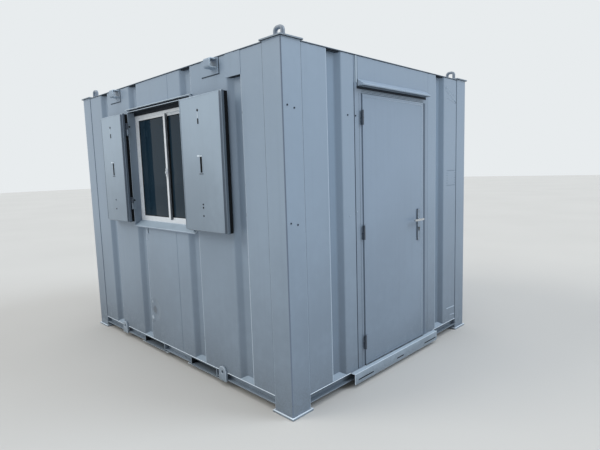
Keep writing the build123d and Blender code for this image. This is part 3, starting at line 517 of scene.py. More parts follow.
def lay_on(piece: Piece, finish: int, test: FaceTest) -> None:
    """Give the faces that a test picks another of the piece's finishes."""
    for face in piece.data.polygons:
        if test(face.center, face.normal):
            face.material_index = finish


def smooth(piece: Piece, angle: float = 38.0) -> None:
    """Shade the bends smooth and keep the flats flat."""
    hold(piece)
    bpy.ops.object.shade_smooth_by_angle(angle=math.radians(angle))
    modifier = piece.modifiers.new("weighted_normal", "WEIGHTED_NORMAL")
    modifier.keep_sharp = True
    bpy.ops.object.modifier_apply(modifier=modifier.name)


def formed(
    node: str, name: str, bends: Sequence[Bend], press: Callable[[Piece], None] | None = None
) -> Piece:
    """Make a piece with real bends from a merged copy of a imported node.

    Args:
        node: The node that is copied.
        name: The name of the new piece.
        bends: The radii to put on, in order.
        press: Shapes the copy before its bends.

    Returns:
        The new piece, with empty slots for up to four finishes.
    """
    piece = bpy.data.objects.new(name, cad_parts[node].data.copy())
    bpy.context.scene.collection.objects.link(piece)
    with editing(piece):
        bpy.ops.mesh.select_all(action="SELECT")
        bpy.ops.mesh.remove_doubles(threshold=MERGE_DISTANCE)
        bpy.ops.mesh.dissolve_limited(angle_limit=FLAT_ANGLE)
    piece.data.materials.clear()
    for _ in range(FINISH_SLOTS):
        piece.data.materials.append(None)
    if press:
        press(piece)
    for bend in bends:
        round_off(piece, bend)
    smooth(piece)
    return piece


def settle(piece: Piece) -> None:
    """Put a piece's place, turn and size into its mesh."""
    hold(piece)
    bpy.ops.object.transform_apply(location=True, rotation=True, scale=True)


def block(name: str, low: Sequence[float], high: Sequence[float], radius: float, segments: int = 2) -> Piece:
    """Make a straight piece between two opposite corners, with its edges rounded in flat segments."""
    start, end = Vector(map(min, low, high)), Vector(map(max, low, high))
    bpy.ops.mesh.primitive_cube_add(size=1.0, location=(start + end) / 2)
    piece = bpy.context.active_object
    piece.name = name
    piece.scale = end - start
    settle(piece)
    round_off(piece, Bend(radius, segments))
    smooth(piece)
    return piece


def toward(direction: Sequence[float]) -> Matrix:
    """The turn that lays +Z along a direction, with +Y kept upright where it can be."""
    return Vector(direction).to_track_quat("Z", "Y").to_matrix().to_4x4()


def joined(name: str, pieces: Sequence[Piece]) -> Piece:
    """Join several pieces into one under a name."""
    hold(pieces[0])
    for piece in pieces:
        piece.select_set(True)
    bpy.ops.object.join()
    pieces[0].name = name
    return pieces[0]


def spread(name: str, pattern: Piece, places: Sequence[Run]) -> Piece:
    """Copy a pattern that faces +Z to places, each with its direction, join the copies and drop it."""
    copies = []
    for place, direction in places:
        mesh = pattern.data.copy()
        mesh.transform(Matrix.Translation(Vector(place)) @ toward(direction))
        copy = bpy.data.objects.new(name, mesh)
        bpy.context.scene.collection.objects.link(copy)
        copies.append(copy)
    bpy.data.objects.remove(pattern)
    return joined(name, copies)


class Head(Enum):
    """What a fixing's face shows, with the share that is rounded or is its rim."""

    DOME = 0.85
    SOCKET = 0.42
    HOLE = 0.24


def fixing(head: Head, radius: float, rise: float) -> Piece:
    """Model one fixing at the origin, facing +Z, by its outer radius and how far it stands proud."""
    middle = (0, 0, rise / 2)
    bpy.ops.mesh.primitive_cylinder_add(vertices=FIXING_SIDES, radius=radius, depth=rise, location=middle)
    piece = bpy.context.active_object
    settle(piece)
    top = lambda centre, normal: normal.z > STRAIGHT and centre.z > rise * FIXING_SINK
    with editing(piece):
        pick_faces(piece, top)
        if head is Head.DOME:
            bpy.ops.mesh.bevel(offset=min(rise, radius) * head.value, segments=3, affect="EDGES")
        else:
            bpy.ops.mesh.inset(thickness=radius * head.value)
            bpy.ops.mesh.inset(thickness=0.0, depth=-rise * FIXING_SINK)
    smooth(piece)
    return piece


def weld(name: str, start: Sequence[float], end: Sequence[float], radius: float, seed: int) -> Piece:
    """Lay one weld bead between two points, rippled by a seed."""
    first, last = Vector(start), Vector(end)
    run = last - first
    bpy.ops.mesh.primitive_cylinder_add(vertices=WELD_SIDES, radius=radius, depth=run.length)
    piece = bpy.context.active_object
    piece.name = name
    ripples = max(2, int(run.length / WELD_RIPPLE))
    with editing(piece):
        pick_edges(piece, edge_on_z, sharp=0.0)
        bpy.ops.mesh.subdivide(number_cuts=ripples)
        bpy.ops.mesh.select_all(action="SELECT")
        bpy.ops.transform.vertex_random(offset=radius * WELD_UNEVENNESS, uniform=0.6, normal=0.4, seed=seed)
    piece.data.transform(Matrix.Translation((first + last) / 2) @ toward(run))
    smooth(piece, WELD_SMOOTHING)
    return piece


class PaintShop:
    """Every finish of the cabin, written once each when it is first asked for."""

    def __init__(self) -> None:
        """Set out the finishes and the record's slot that each belongs to."""
        body_high, body_low = srgb(141, 159, 178), srgb(114, 128, 143)
        scraped = srgb(170, 184, 197)
        knocks = (
            Mark((-0.286, -1.203, 0.399), 0.100, 0.006, 0.75),
            Mark((-0.335, -1.203, 0.319), 0.046, -0.004, 0.9, scraped),
            Mark((-0.328, -1.203, 0.467), 0.036, -0.003, 0.6, scraped),
        )
        plugs = {"turn_low": 0.1, "turn_high": 0.16, "splash": 0.15, "wave": 0.0}
        low_steel = {"turn_low": 0.02, "turn_high": 0.12, "splash_height": 0.1, "splash": 0.3}
        hinges = {"wave": 0.0, "specks": 0.6, "splash": 0.2}
        by_slot = {
            "cabin_paint": {
                "cabin": SitePaint("cabin_gloss", body_high, body_low, marks=knocks),
                # Paler edges: worn paint on scratches and knocks, and painted highlight on bends of the
                # reveal, roof and hood and on the hood's end.
                "cabin_edge": EdgeWearAndPaintedLight("cabin_edge", srgb(176, 193, 210)),
                # Paler folds without wear: painted highlight on groove lips, the near posts' folds, the cover
                # plate's edge and the reveal's front.
                "lip": EdgeWearAndPaintedLight("cabin_fold_highlight", srgb(170, 186, 202), share=0.0),
                # Darker rounded post corners without wear: painted shade.
                "corner": EdgeWearAndPaintedLight("post_corner_shade", srgb(106, 121, 140), srgb(98, 108, 121), 0.0),
                # Worn plate and flange edges, paler than the rail paint at the rails' foot as a painted
                # highlight.
                "plate_edge": EdgeWearAndPaintedLight("plate_edge", srgb(126, 140, 154)),
                # Pale copy of the cabin paint: painted light on the threshold's top, the drip strip and the
                # loops' outer ends.
                "plug": SitePaint("pale_painted_light_gloss", srgb(182, 198, 212), srgb(170, 187, 202), **plugs),
                # Paler copy of the cabin paint: painted light on the sill's top, the fold over the door and
                # the lower screws.
                "sill": SitePaint(
                    "sill_gloss_painted_light", srgb(160, 177, 192), srgb(148, 165, 180), turn_low=1.0, clouds=0.8, wave=0.0
                ),
                "cap": SitePaint("groove_plug_gloss", srgb(142, 159, 175), srgb(133, 150, 166), **plugs),
                "eye": SitePaint(
                    "eye_gloss", srgb(126, 137, 150), srgb(116, 127, 140), turn_low=2.4, turn_high=2.5,
                    clouds=0.9, specks=0.6, wave=0.0
                ),
                # Sealant in the post joints and the beaded outline, and painted shade on the strip beside the
                # door's latch.
                "joint": Dull("joint_sealant_and_latch_shade", srgb(98, 111, 126), srgb(108, 121, 136)),
                # Dark joints, screws, seams and slats, and painted shadow lines under and beside the loops'
                # plates and at the hood's ends.
                "line": Dull("dark_joint_and_shadow_line", srgb(60, 70, 82), srgb(84, 94, 105)),
                # Painted shade: dark blocks in the tops of the grooves, under the cover plate and under the
                # door's hood.
                "dark_shade": Dull("painted_dark_shade", srgb(46, 54, 64), srgb(62, 70, 80)),
                # Darker copy of the cabin paint: painted shade in the end walls' grooves; also the long
                # walls' lap seams.
                "groove": SitePaint("groove_gloss_painted_shade", srgb(126, 146, 167), srgb(103, 118, 134)),
            },
            "rail_paint": {
                # Lighter copy of the rail paint: painted light on the long rails and the lugs, while the end
                # rails keep the darker rail paint.
                "lug": SitePaint(
                    "rail_gloss_lit_copy", srgb(136, 150, 164), srgb(126, 140, 154), **low_steel, wave=0.0
                ),
                "rail": SitePaint(
                    "rail_gloss", srgb(116, 130, 144), srgb(104, 117, 130), turn_low=0.02, turn_high=0.2,
                    splash_height=0.2, splash=0.2, clouds=0.5, specks=0.4, wave=0.0006
                ),
                # Near-white, slightly worn: painted highlight on the tops and edges of rails, plates,
                # pockets, lugs, threshold, sill and drip; also the pale slot hoods.
                "rail_edge": EdgeWearAndPaintedLight("rail_edge", srgb(214, 227, 239), share=-0.04),
                "step": SitePaint(
                    "threshold_gloss", srgb(143, 158, 172), srgb(128, 142, 155), **low_steel, clouds=0.5,
                    specks=0.5, wave=0.0004
                ),
                # Painted shade inside the fork pockets.
                "pocket": Dull("pocket_inside_shade", srgb(30, 34, 38), srgb(52, 56, 61)),
            },
            "roof_paint": {
                "roof": SitePaint(
                    "roof_gloss", srgb(138, 149, 160), srgb(118, 127, 136), turn_low=2.38, turn_high=2.43,
                    gloss_roughness=0.5, clouds=1.3, streaks=0.3, specks=0.5, wave=0.002
                ),
                "roof_lip": EdgeWearAndPaintedLight("roof_lip", srgb(88, 99, 112), srgb(78, 87, 97)),
            },
            "reveal_paint": {
                # Darker copy of the cabin paint: painted shade on the reveal's inner faces.
                "reveal": SitePaint(
                    "reveal_gloss_painted_shade", srgb(130, 145, 161), srgb(114, 128, 143), turn_low=1.2, streaks=0.2,
                    specks=0.35, wave=0.0004
                ),
                # Painted shade on undersides: the reveal's head, the hood, the foot and cap plates, and
                # inside the loops.
                "soffit": Dull("soffit_painted_shade", srgb(32, 38, 46), srgb(42, 48, 57)),
            },
            "shutter_paint": {
                "shutter": SitePaint(
                    "shutter_gloss", srgb(160, 178, 195), srgb(122, 137, 152), turn_low=1.0, turn_high=2.3,
                    wave=0.0008, streaks=0.05
                ),
                # Pale, slightly worn: painted highlight along the shutters' front rims; also the bolt slide.
                "shutter_edge": EdgeWearAndPaintedLight("shutter_edge", srgb(208, 221, 232), share=-0.04),
                # Darker copies of the shutter paint: painted shade on the shutters' sides, in two tones on
                # the free side.
                "shutter_side": SitePaint(
                    "shutter_side", srgb(90, 103, 118), srgb(84, 97, 111), turn_low=1.2, clouds=1.4,
                    specks=0.8, streaks=0.3, wave=0.0003
                ),
                "shutter_rear": SitePaint(
                    "shutter_rear", srgb(92, 105, 118), srgb(110, 123, 136), turn_low=1.2, clouds=1.0,
                    streaks=0.2, wave=0.0003
                ),
            },
            "hinge_paint": {
                # Dark paint on the hinge knuckles and the slots' lips: painted shade, on hinges that are body
                # colour.
                "hinge": SitePaint(
                    "hinge_gloss_painted_shade", srgb(66, 76, 89), srgb(60, 70, 82), gloss_roughness=0.42, **hinges
                ),
                "leaf": SitePaint(
                    "hinge_leaf_gloss", srgb(128, 143, 158), srgb(116, 131, 146), gloss_roughness=0.4,
                    **hinges
                ),
                # Near-black: painted shade in holes, slots, the keyway and the gaps under the door and beside
                # the handle plates; also the dark dots and bolt foot.
                "dark": Dull("dark_parts_and_recess_shade", srgb(12, 14, 17), srgb(30, 33, 37)),
            },
            "door_frame_paint": {
                "frame": SitePaint("door_frame_gloss", srgb(135, 152, 171), srgb(110, 124, 139), wave=0.0005),
                "seal": Dull("door_seal"),
            },
            "door_paint": {
                "door": SitePaint(
                    "door_gloss", srgb(138, 156, 176), srgb(115, 130, 146), gloss_roughness=0.32, wave=0.0009,
                    splash=0.25
                ),
                # Pale, slightly worn edges: painted highlight along the door leaf's border.
                "door_edge": EdgeWearAndPaintedLight("door_edge", srgb(200, 216, 230), share=-0.04),
            },
            "window_profile": {
                "profile": SheetProfile("window_profile"),
                # Grey copy of the white profile: painted shade on the meeting stile's side.
                "profile_side": SheetProfile("profile_side", srgb(122, 128, 134), srgb(92, 97, 102)),
                # Black gaskets round the panes, and dark strips that are painted shade under the drip, behind
                # the shutters' edges and beside the meeting stile.
                "gasket": Dull("glass_gasket_and_gap_shade", srgb(18, 20, 23), srgb(42, 46, 51)),
            },
            "glazing": {
                "glass": Glazing("window_glass"),
            },
            "lining": {
                "lining": FacedBoard("faced_board"),
                "strip": FacedBoard("cover_strip", srgb(190, 188, 180)),
            },
            "deck_board": {
                "deck": Board("deck_board", srgb(132, 108, 80), srgb(96, 76, 54), Grain.ALONG_X, 0.5, 0.5),
            },
            "timber": {
                "timber": Board("sawn_timber", srgb(158, 130, 94), srgb(112, 88, 60)),
            },
            "handle_metal": {
                "satin": BareMetal("satin_metal", srgb(198, 201, 204), srgb(150, 153, 156)),
                "lock_plate": BareMetal("lock_plate_metal", srgb(140, 155, 172), srgb(110, 122, 136), 0.34),
            },
            "lock_brass": {
                "brass": BareMetal("lock_brass", srgb(96, 98, 98), srgb(60, 62, 62)),
            },
        }
        self.finishes = {
            finish: (look, slot) for slot, looks in by_slot.items() for finish, look in looks.items()
        }
        self.made: dict[str, bpy.types.Material] = {}

    def material(self, finish: str) -> bpy.types.Material:
        """The material of one finish, written when first used."""
        if finish not in self.made:
            self.made[finish] = self.finishes[finish][0].material()
        return self.made[finish]

    def dress(self, piece: Piece, *finishes: str) -> None:
        """Give a piece its finishes in order, and keep which face has which."""
        numbers = [face.material_index for face in piece.data.polygons]
        piece.data.materials.clear()
        for finish in finishes:
            piece.data.materials.append(self.material(finish))
        if len(finishes) > 1:
            piece.data.polygons.foreach_set("material_index", numbers)

    def hand_over(self, piece: Piece, finishes: Sequence[str], body: str, replaced: Sequence[str]) -> None:
        """Dress a new piece, its main finish first, and tie it to a body and to the nodes it stands for."""
        self.dress(piece, *finishes)
        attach(piece, body)
        if replaced:
            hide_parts(*replaced)

    def keep(self, node: str, finish: str) -> None:
        """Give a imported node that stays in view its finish."""
        self.dress(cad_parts[node], finish)
        log.info("%s stays, in %s", node, finish)


@dataclass
class Assembly:
    """One assembly of the cabin, dressed by the paint shop."""

    shop: PaintShop

    def add(
        self, piece: Piece, *finishes: str, body: str = WHOLE_CABIN, replaced: Sequence[str] = ()
    ) -> None:
        """Hand a new piece over, with its finishes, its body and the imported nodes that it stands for."""
        self.shop.hand_over(piece, finishes, body, replaced)

    def keep(self, node: str, finish: str) -> None:
        """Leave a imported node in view, in one finish."""
        self.shop.keep(node, finish)

    def reshape(
        self,
        node: str,
        name: str,
        bends: Sequence[Bend],
        *finishes: str,
        faces: dict[int, FaceTest] | None = None,
        press: Callable[[Piece], None] | None = None,
        body: str = WHOLE_CABIN,
    ) -> None:
        """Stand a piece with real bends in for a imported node.

        Args:
            node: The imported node.
            name: The name of the new piece.
            bends: The radii to put on, in order.
            finishes: Its main finish, then the others, numbered from 1.
            faces: Tests that pick faces for the numbered finishes, laid on in order.
            press: Shapes the piece before its bends.
            body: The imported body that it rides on.
        """
        piece = formed(node, name, bends, press)
        for number, test in (faces or {}).items():
            lay_on(piece, number, test)
        self.add(piece, *finishes, body=body, replaced=(node,))

    def bars(
        self,
        name: str,
        finish: str,
        runs: Sequence[Run],
        radius: float,
        segments: int = 2,
        body: str = WHOLE_CABIN,
    ) -> None:
        """Lay blocks with rounded edges between pairs of opposite corners, as one piece."""
        blocks = [block(name, low, high, radius, segments) for low, high in runs]
        self.add(joined(name, blocks), finish, body=body)

    def beads(self, name: str, finish: str, runs: Sequence[BeadRun], seed: int = 0) -> None:
        """Lay weld beads as one piece, each from its start to its end with its radius."""
        beads = [weld(name, *run, seed + count) for count, run in enumerate(runs)]
        self.add(joined(name, beads), finish)

    def fixings(
        self, name: str, finish: str, pattern: Piece, places: Sequence[Run], body: str = WHOLE_CABIN
    ) -> None:
        """Set copies of one fixing at places, each with the direction that it faces, as one piece."""
        self.add(spread(name, pattern, places), finish, body=body)


@dataclass
class CornerPosts(Assembly):
    """Folded corner posts with their foot and cap plates and the lifting eyes."""

    corner_radius: float = 0.007
    fold_radius: float = 0.005
    plate_round: float = 0.0022
    eye_round: float = 0.009
    bead: float = 0.0032
    joint_round: float = 0.0008
    joint_width: float = 0.0035
    joint_proud: float = 0.0012
    screw_radius: float = 0.006
    screw_rise: float = 0.003
    screw_heights: Span = (2.024, 1.294)
    screw_from_corner: Span = (0.040, 0.100)
    screw_drop: float = 0.014

    def build(self) -> None:
        """Build the posts from the ground up."""
        self.low, self.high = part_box("corner_posts")
        self.posts()
        self.plates()
        self.eyes()
        self.welds()
        self.joints()
        self.screws()

    def outer_faces(self, middle: Vector, along: Vector) -> int:
        """On how many of the posts' outer faces an upright edge lies: one at a fold, two at a corner."""
        on_x = min(abs(middle.x - self.low.x), abs(middle.x - self.high.x)) < self.plate_round
        on_y = min(abs(middle.y - self.low.y), abs(middle.y - self.high.y)) < self.plate_round
        return on_x + on_y if edge_on_z(middle, along) else 0

    def posts(self) -> None:
        """Fold the posts' corners and returns, with the near folds paler as painted highlight and the outer
        corners darker as painted shade.
        """
        at_fold = lambda middle, along: self.outer_faces(middle, along) == 1
        near = lambda middle, along: at_fold(middle, along) and middle.x > 0 > middle.y
        other = lambda middle, along: at_fold(middle, along) and not near(middle, along)
        at_corner = lambda middle, along: self.outer_faces(middle, along) == 2
        bends = (
            Bend(self.fold_radius, 3, near, finish=2),
            Bend(self.fold_radius / 2, 2, other),
            Bend(self.corner_radius, 4, at_corner, finish=1),
        )
        self.reshape("corner_posts", "folded_posts", bends, "cabin", "corner", "lip")

    def plates(self) -> None:
        """Round the cut edges of the foot and cap plates, the foot plates' tops near-white as painted
        highlight and the undersides dark as painted shade.
        """
        for node, top in (("foot_plates", 1), ("cap_plates", 2)):
            low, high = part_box(node)
            upper = lambda middle, along: middle.z > high.z - self.plate_round
            lower = lambda middle, along: middle.z < low.z + self.plate_round
            bends = (Bend(self.plate_round, 2, upper, finish=top), Bend(self.plate_round, 2, lower, finish=3))
            faces = {
                2: lambda centre, normal: abs(normal.z) < 0.1,
                3: lambda centre, normal: normal.z < -STRAIGHT,
                1: lambda centre, normal: top == 1 and normal.z > STRAIGHT,
            }
            finishes = ("cabin", "rail_edge", "plate_edge", "soffit")
            self.reshape(node, f"{node}_cut", bends, *finishes, faces=faces)

    def eyes(self) -> None:
        """Round the bars of the lifting eyes."""
        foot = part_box("lifting_eyes")[0].z + self.plate_round
        outline = lambda middle, along: abs(along.y) < SLANTED and middle.z > foot
        self.reshape("lifting_eyes", "bent_eyes", (Bend(self.eye_round, 3, outline),), "eye")

    def welds(self) -> None:
        """Lay the beads between each post and its plates."""
        runs = []
        for height in (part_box("foot_plates")[1].z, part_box("cap_plates")[0].z):
            for x, inward_x in ((self.low.x, 1), (self.high.x, -1)):
                for y, inward_y in ((self.low.y, 1), (self.high.y, -1)):
                    for end in ((x + inward_x * POST_FACE, y, height), (x, y + inward_y * POST_FACE, height)):
                        runs.append(((x, y, height), end, self.bead))
        self.beads("post_welds", "cabin", runs)

    def joints(self) -> None:
        """Run the joints between the posts and the wall sheets, sealed or open."""
        long_low, long_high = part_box("back_wall")
        end_low, end_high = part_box("far_end_wall")
        front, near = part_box("front_wall_below")[0].y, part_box("door_wall_beside")[1].x
        foot, head = end_low.z, end_high.z
        width, proud = self.joint_width, self.joint_proud
        sealed, left_open = [], []
        for edge, inward, runs in ((long_low.x, width, left_open), (long_high.x, -width, sealed)):
            for face, outward in ((front, -proud), (long_high.y, proud)):
                runs.append(((edge, face, foot), (edge + inward, face + outward, head)))
        for edge, inward, runs in ((end_low.y, width, sealed), (end_high.y, -width, left_open)):
            for face, outward in ((end_low.x, -proud), (near, proud)):
                runs.append(((face, edge, foot), (face + outward, edge + inward, head)))
        self.bars("open_post_joints", "line", left_open, self.joint_round)
        self.bars("post_joints", "joint", sealed, self.joint_round)

    def screws(self) -> None:
        """Set the screws in the end faces of the posts on the window side."""
        places = [
            ((x, self.low.y + distance, height - step * self.screw_drop), (outward, 0, 0))
            for x, outward in ((self.high.x, 1), (self.low.x, -1))
            for height in self.screw_heights
            for step, distance in enumerate(self.screw_from_corner)
        ]
        self.fixings("post_screws", "line", fixing(Head.SOCKET, self.screw_radius, self.screw_rise), places)


@dataclass
class FloorFrame(Assembly):
    """Channel rails, fork pockets, lugs, threshold, joists and deck."""

    flange: float = 0.006
    flange_round: float = 0.0028
    pocket_round: float = 0.0025
    pocket_plate: float = 0.470
    pocket_foot: float = 0.009
    pocket_roof: float = 0.090
    pocket_inside_shade: float = 0.010
    lug_round: float = 0.003
    lug_width: float = 0.090
    lug_hole: float = 0.0139
    lug_hole_height: float = 0.113
    lug_back_rise: float = 0.0016
    step_round: float = 0.005
    step_slot_height: float = 0.060
    step_slot_clear: float = 0.012
    slot_half_height: float = 0.006
    step_slot_reach: tuple[Span, ...] = ((-0.462, 0.096), (0.010, 0.052), (0.500, 0.103))
    slot_back_x: Span = (0.008, 0.0054)
    slot_back_ends: Span = (0.010, 0.006)
    slot_back_half: float = 0.012
    slot_back_round: float = 0.0008
    bead: float = 0.004
    step_bead: float = 0.0032

    def build(self) -> None:
        """Build the floor frame and what stands on it."""
        self.rails()
        self.pockets()
        self.lugs()
        self.step()
        self.welds()
        self.keep("floor_joists", "timber")
        self.keep("floor_deck", "deck")

    def rails(self) -> None:
        """Round the flanges of the rails, the top ones near-white and the foot ones paler as painted
        highlight, the long rails in the lighter rail paint as painted light.
        """
        for node, name, paint in (
            ("long_rails", "rolled_long_rails", "lug"),
            ("end_rails", "rolled_end_rails", "rail"),
        ):
            low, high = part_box(node)
            foot, top = low.z + self.flange, high.z - self.flange
            on_top = lambda middle, along: middle.z > top
            below = lambda middle, along: middle.z < top
            bends = (Bend(self.flange_round, 2, on_top, finish=1), Bend(self.flange_round, 2, below))
            faces = {
                1: lambda centre, normal: centre.z > top and abs(normal.z) < SLANTED,
                2: lambda centre, normal: centre.z < foot and abs(normal.z) < SLANTED,
            }
            self.reshape(node, name, bends, paint, "rail_edge", "plate_edge", faces=faces)

    def pockets(self) -> None:
        """Round the mouths of the fork pockets, dark inside as painted shade, with their bottom plates
        near-white as painted highlight.
        """
        low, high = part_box("fork_pockets")
        at_plate = lambda middle, along: middle.z < low.z + self.pocket_foot
        at_mouth = lambda middle, along: not at_plate(middle, along)
        bends = (Bend(self.pocket_round, 2, at_plate, finish=1), Bend(self.pocket_round, 2, at_mouth))
        middles = (low.x + self.pocket_plate / 2, high.x - self.pocket_plate / 2)

        def inside(centre: Vector, normal: Vector) -> bool:
            middle = min(middles, key=lambda place: abs(place - centre.x))
            under_roof = normal.z < -STRAIGHT and centre.z > self.pocket_roof
            return under_roof or (middle - centre.x) * normal.x > self.pocket_inside_shade

        faces = {2: inside, 1: lambda centre, normal: abs(normal.y) > SLANTED and at_plate(centre, normal)}
        self.reshape("fork_pockets", "fork_pocket_tubes", bends, "rail", "rail_edge", "pocket", faces=faces)

    def lugs(self) -> None:
        """Round the lugs with near-white edges as painted highlight, and close their holes with dark backs as
        painted shade.
        """
        self.reshape("rail_lugs", "cut_lugs", (Bend(self.lug_round, 2, finish=1),), "lug", "rail_edge")
        low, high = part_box("rail_lugs")
        front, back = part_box("long_rails")
        places = [
            ((x, face.y, self.lug_hole_height), (0, outward, 0))
            for x in (low.x + self.lug_width / 2, high.x - self.lug_width / 2)
            for face, outward in ((front, -1), (back, 1))
        ]
        pattern = fixing(Head.SOCKET, self.lug_hole, self.lug_back_rise)
        self.fixings("lug_hole_shade_backs", "dark", pattern, places)

    def step(self) -> None:
        """Fold the threshold with near-white edges and a pale top as painted light, and dark slot walls and a
        dark back behind its slots as painted shade.
        """
        low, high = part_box("threshold")
        slot = self.step_slot_height
        outline = lambda middle, along: abs(middle.z - slot) > self.step_slot_clear or abs(along.z) > STRAIGHT
        at_outline = lambda middle, along: outline(middle, along) and not self.in_slot(middle)
        bends = (Bend(self.step_round, 3, at_outline, finish=1),)
        faces = {
            2: lambda centre, normal: normal.z > STRAIGHT,
            3: lambda centre, normal: self.in_slot(centre) and abs(normal.x) < SLANTED,
        }
        self.reshape("threshold", "folded_threshold", bends, "step", "rail_edge", "plug", "dark", faces=faces)
        (inner, outer), (left, right), half = self.slot_back_x, self.slot_back_ends, self.slot_back_half
        run = ((high.x - inner, low.y + left, slot - half), (high.x - outer, high.y - right, slot + half))
        self.bars("slot_shade_back", "dark", [run], self.slot_back_round)

    def in_slot(self, place: Vector) -> bool:
        """Whether a place is on the wall of one of the threshold's slots."""
        across = any(abs(place.y - middle) < half for middle, half in self.step_slot_reach)
        return across and abs(place.z - self.step_slot_height) < self.slot_half_height

    def welds(self) -> None:
        """Lay beads beside the lugs, and where the threshold meets the end rail."""
        rail_low, rail_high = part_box("long_rails")
        lug_low, lug_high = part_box("rail_lugs")
        step_low, step_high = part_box("threshold")
        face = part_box("end_rails")[1].x
        runs = [
            ((side, y, rail_low.z), (side, y, rail_high.z), self.bead)
            for y in (rail_low.y, rail_high.y)
            for side in (lug_low.x, lug_low.x + self.lug_width, lug_high.x - self.lug_width, lug_high.x)
        ]
        runs.append(((face, step_low.y, step_high.z), (face, step_high.y, step_high.z), self.step_bead))
        self.beads("frame_welds", "rail", runs)


@dataclass
class WallSkins(Assembly):
    """Pressed wall sheets with their grooves, seams, patch and screws."""

    lip_radius: float = 0.009
    edge_radius: float = 0.007
    margin: float = 0.004
    cover_round: float = 0.0009
    seam_width: float = 0.005
    seam_proud: float = 0.0012
    seam_round: float = 0.0006
    seam_from_middle: float = 0.190
    door_seam_y: Span = (-0.490, -0.462)
    door_fold_y: Span = (-0.486, -0.467)
    groove_middles: tuple[float, ...] = (-1.040, -0.440, 0.428, 1.028)
    end_groove_middles: tuple[float, ...] = (-0.718, 0.012, 0.742)
    groove_half: float = 0.066
    groove_lip: float = 0.075
    top_shade_height: float = 0.010
    top_shade_reach: Span = (0.010, 0.036)
    top_shade_round: float = 0.003
    cover_shade_x: Span = (-0.0594, 0.066)
    cover_shade_z: Span = (-0.004, 0.020)
    patch_y: Span = (0.830, 1.052)
    patch_z: Span = (2.205, 2.345)
    score_ends: tuple[Span, ...] = ((0.96, 0.10), (0.80, 0.0), (0.98, 0.42), (0.30, 0.02), (0.62, 0.30))
    score_steps: Span = (0.05, 0.04)
    score_radii: Span = (0.0016, 0.0019)
    cut_shares: Span = (0.12, 0.01)
    blister_y: Span = (0.885, 1.040)
    blister_z: Span = (1.441, 1.580)
    blister_pitch: float = 0.021
    blister_radius: float = 0.0036
    blister_rise: float = 0.0018
    knocked_edges: tuple[EdgeMark, ...] = (
        ((0.882, 0.250), (1.042, 0.245), 0.0032),
        ((0.961, 0.174), (1.050, 0.165), 0.0022),
    )
    hook_z: Span = (1.096, 1.150)
    arm_x: Span = (-0.328, -0.319)
    tip_x: Span = (-0.325, -0.308)
    hook_steel: float = 0.006
    hook_round: float = 0.0018
    hook_seat_x: Span = (-0.319, -0.310)
    hook_seat_lift: float = 0.008
    hook_seat_proud: float = 0.0012
    hook_seat_round: float = 0.0005
    button_place: Span = (-0.342, 1.047)
    button_radius: float = 0.008
    button_rise: float = 0.004
    screw_places: tuple[Span, ...] = ((-0.578, 1.999), (-0.489, 1.999), (-0.575, 1.288), (-0.486, 1.309))
    screw_radius: float = 0.006
    screw_rise: float = 0.003

    def build(self) -> None:
        """Build the sheets, then what is fixed to them."""
        self.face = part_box("door_wall_beside")[1].x
        for node in ("front_wall_below", "front_wall_beside", "front_wall_above", "back_wall"):
            self.sheet(node, along_x=True)
        for node in ("far_end_wall", "door_wall_beside"):
            self.sheet(node, along_x=False)
        self.reshape("door_wall_above", "door_wall_above_sheet", (), "cabin")
        # The cover plate's +X faces take the pale fold paint, a painted highlight.
        bends, faces = (Bend(self.cover_round, 2, finish=1),), {1: lambda centre, normal: normal.x > STRAIGHT}
        self.reshape("groove_cover", "groove_cover_plate", bends, "cabin", "lip", faces=faces)
        self.keep("groove_caps", "cap")
        self.seams()
        self.top_shades()
        self.scratches()
        self.blister()
        self.ledge()
        self.hook()
        self.screws()

    def sheet(self, node: str, along_x: bool) -> None:
        """Round the bends of the grooves in one wall, which runs along X or along Y, with paler lips as
        painted highlight and the end walls' grooves darker as painted shade.
        """
        low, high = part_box(node)
        run, out = (0, 1) if along_x else (1, 0)
        middles = self.groove_middles if along_x else self.end_groove_middles
        bright_lip = self.groove_lip if along_x else -self.groove_lip
        margin = self.margin
        between = lambda place, axis: low[axis] + margin < place[axis] < high[axis] - margin
        in_groove = lambda middle, along: edge_on_z(middle, along) and between(middle, run)

        def at_lip(middle: Vector, along: Vector) -> bool:
            on_face = min(abs(middle[out] - low[out]), abs(middle[out] - high[out])) < margin / 2
            beside = any(abs(middle[run] - groove - bright_lip) < margin for groove in middles)
            return in_groove(middle, along) and on_face and beside

        bends = (
            Bend(self.edge_radius, 3, at_lip, finish=1),
            Bend(self.lip_radius, 3, in_groove, inside=True),
        )
        inner = lambda centre: between(centre, run) and between(centre, out)
        set_back = lambda centre, normal: inner(centre) and abs(normal.z) < SLANTED
        faces = None if along_x else {2: set_back}
        self.reshape(node, f"{node}_sheet", bends, "cabin", "lip", "groove", faces=faces)

    def seams(self) -> None:
        """Lay the upright lap seams of the long walls and of the panel over the door."""
        low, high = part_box("front_wall_below")
        top, back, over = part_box("front_wall_above"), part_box("back_wall"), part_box("door_wall_above")
        middle = (low.x + high.x) / 2 + self.seam_from_middle
        half, proud = self.seam_width / 2, self.seam_proud
        walls = (
            (low.y, -proud, low.z, high.z),
            (top[0].y, -proud, top[0].z, top[1].z),
            (back[1].y, proud, back[0].z, back[1].z),
        )
        laps = [((middle - half, y, foot), (middle + half, y + rise, head)) for y, rise, foot, head in walls]
        self.bars("wall_seams", "groove", laps, self.seam_round)
        face, foot, head = over[1].x, over[0].z, over[1].z
        lines = [((face, y - half / 3, foot), (face + proud, y + half / 3, head)) for y in self.door_seam_y]
        self.bars("door_panel_joints", "line", lines, self.seam_round)
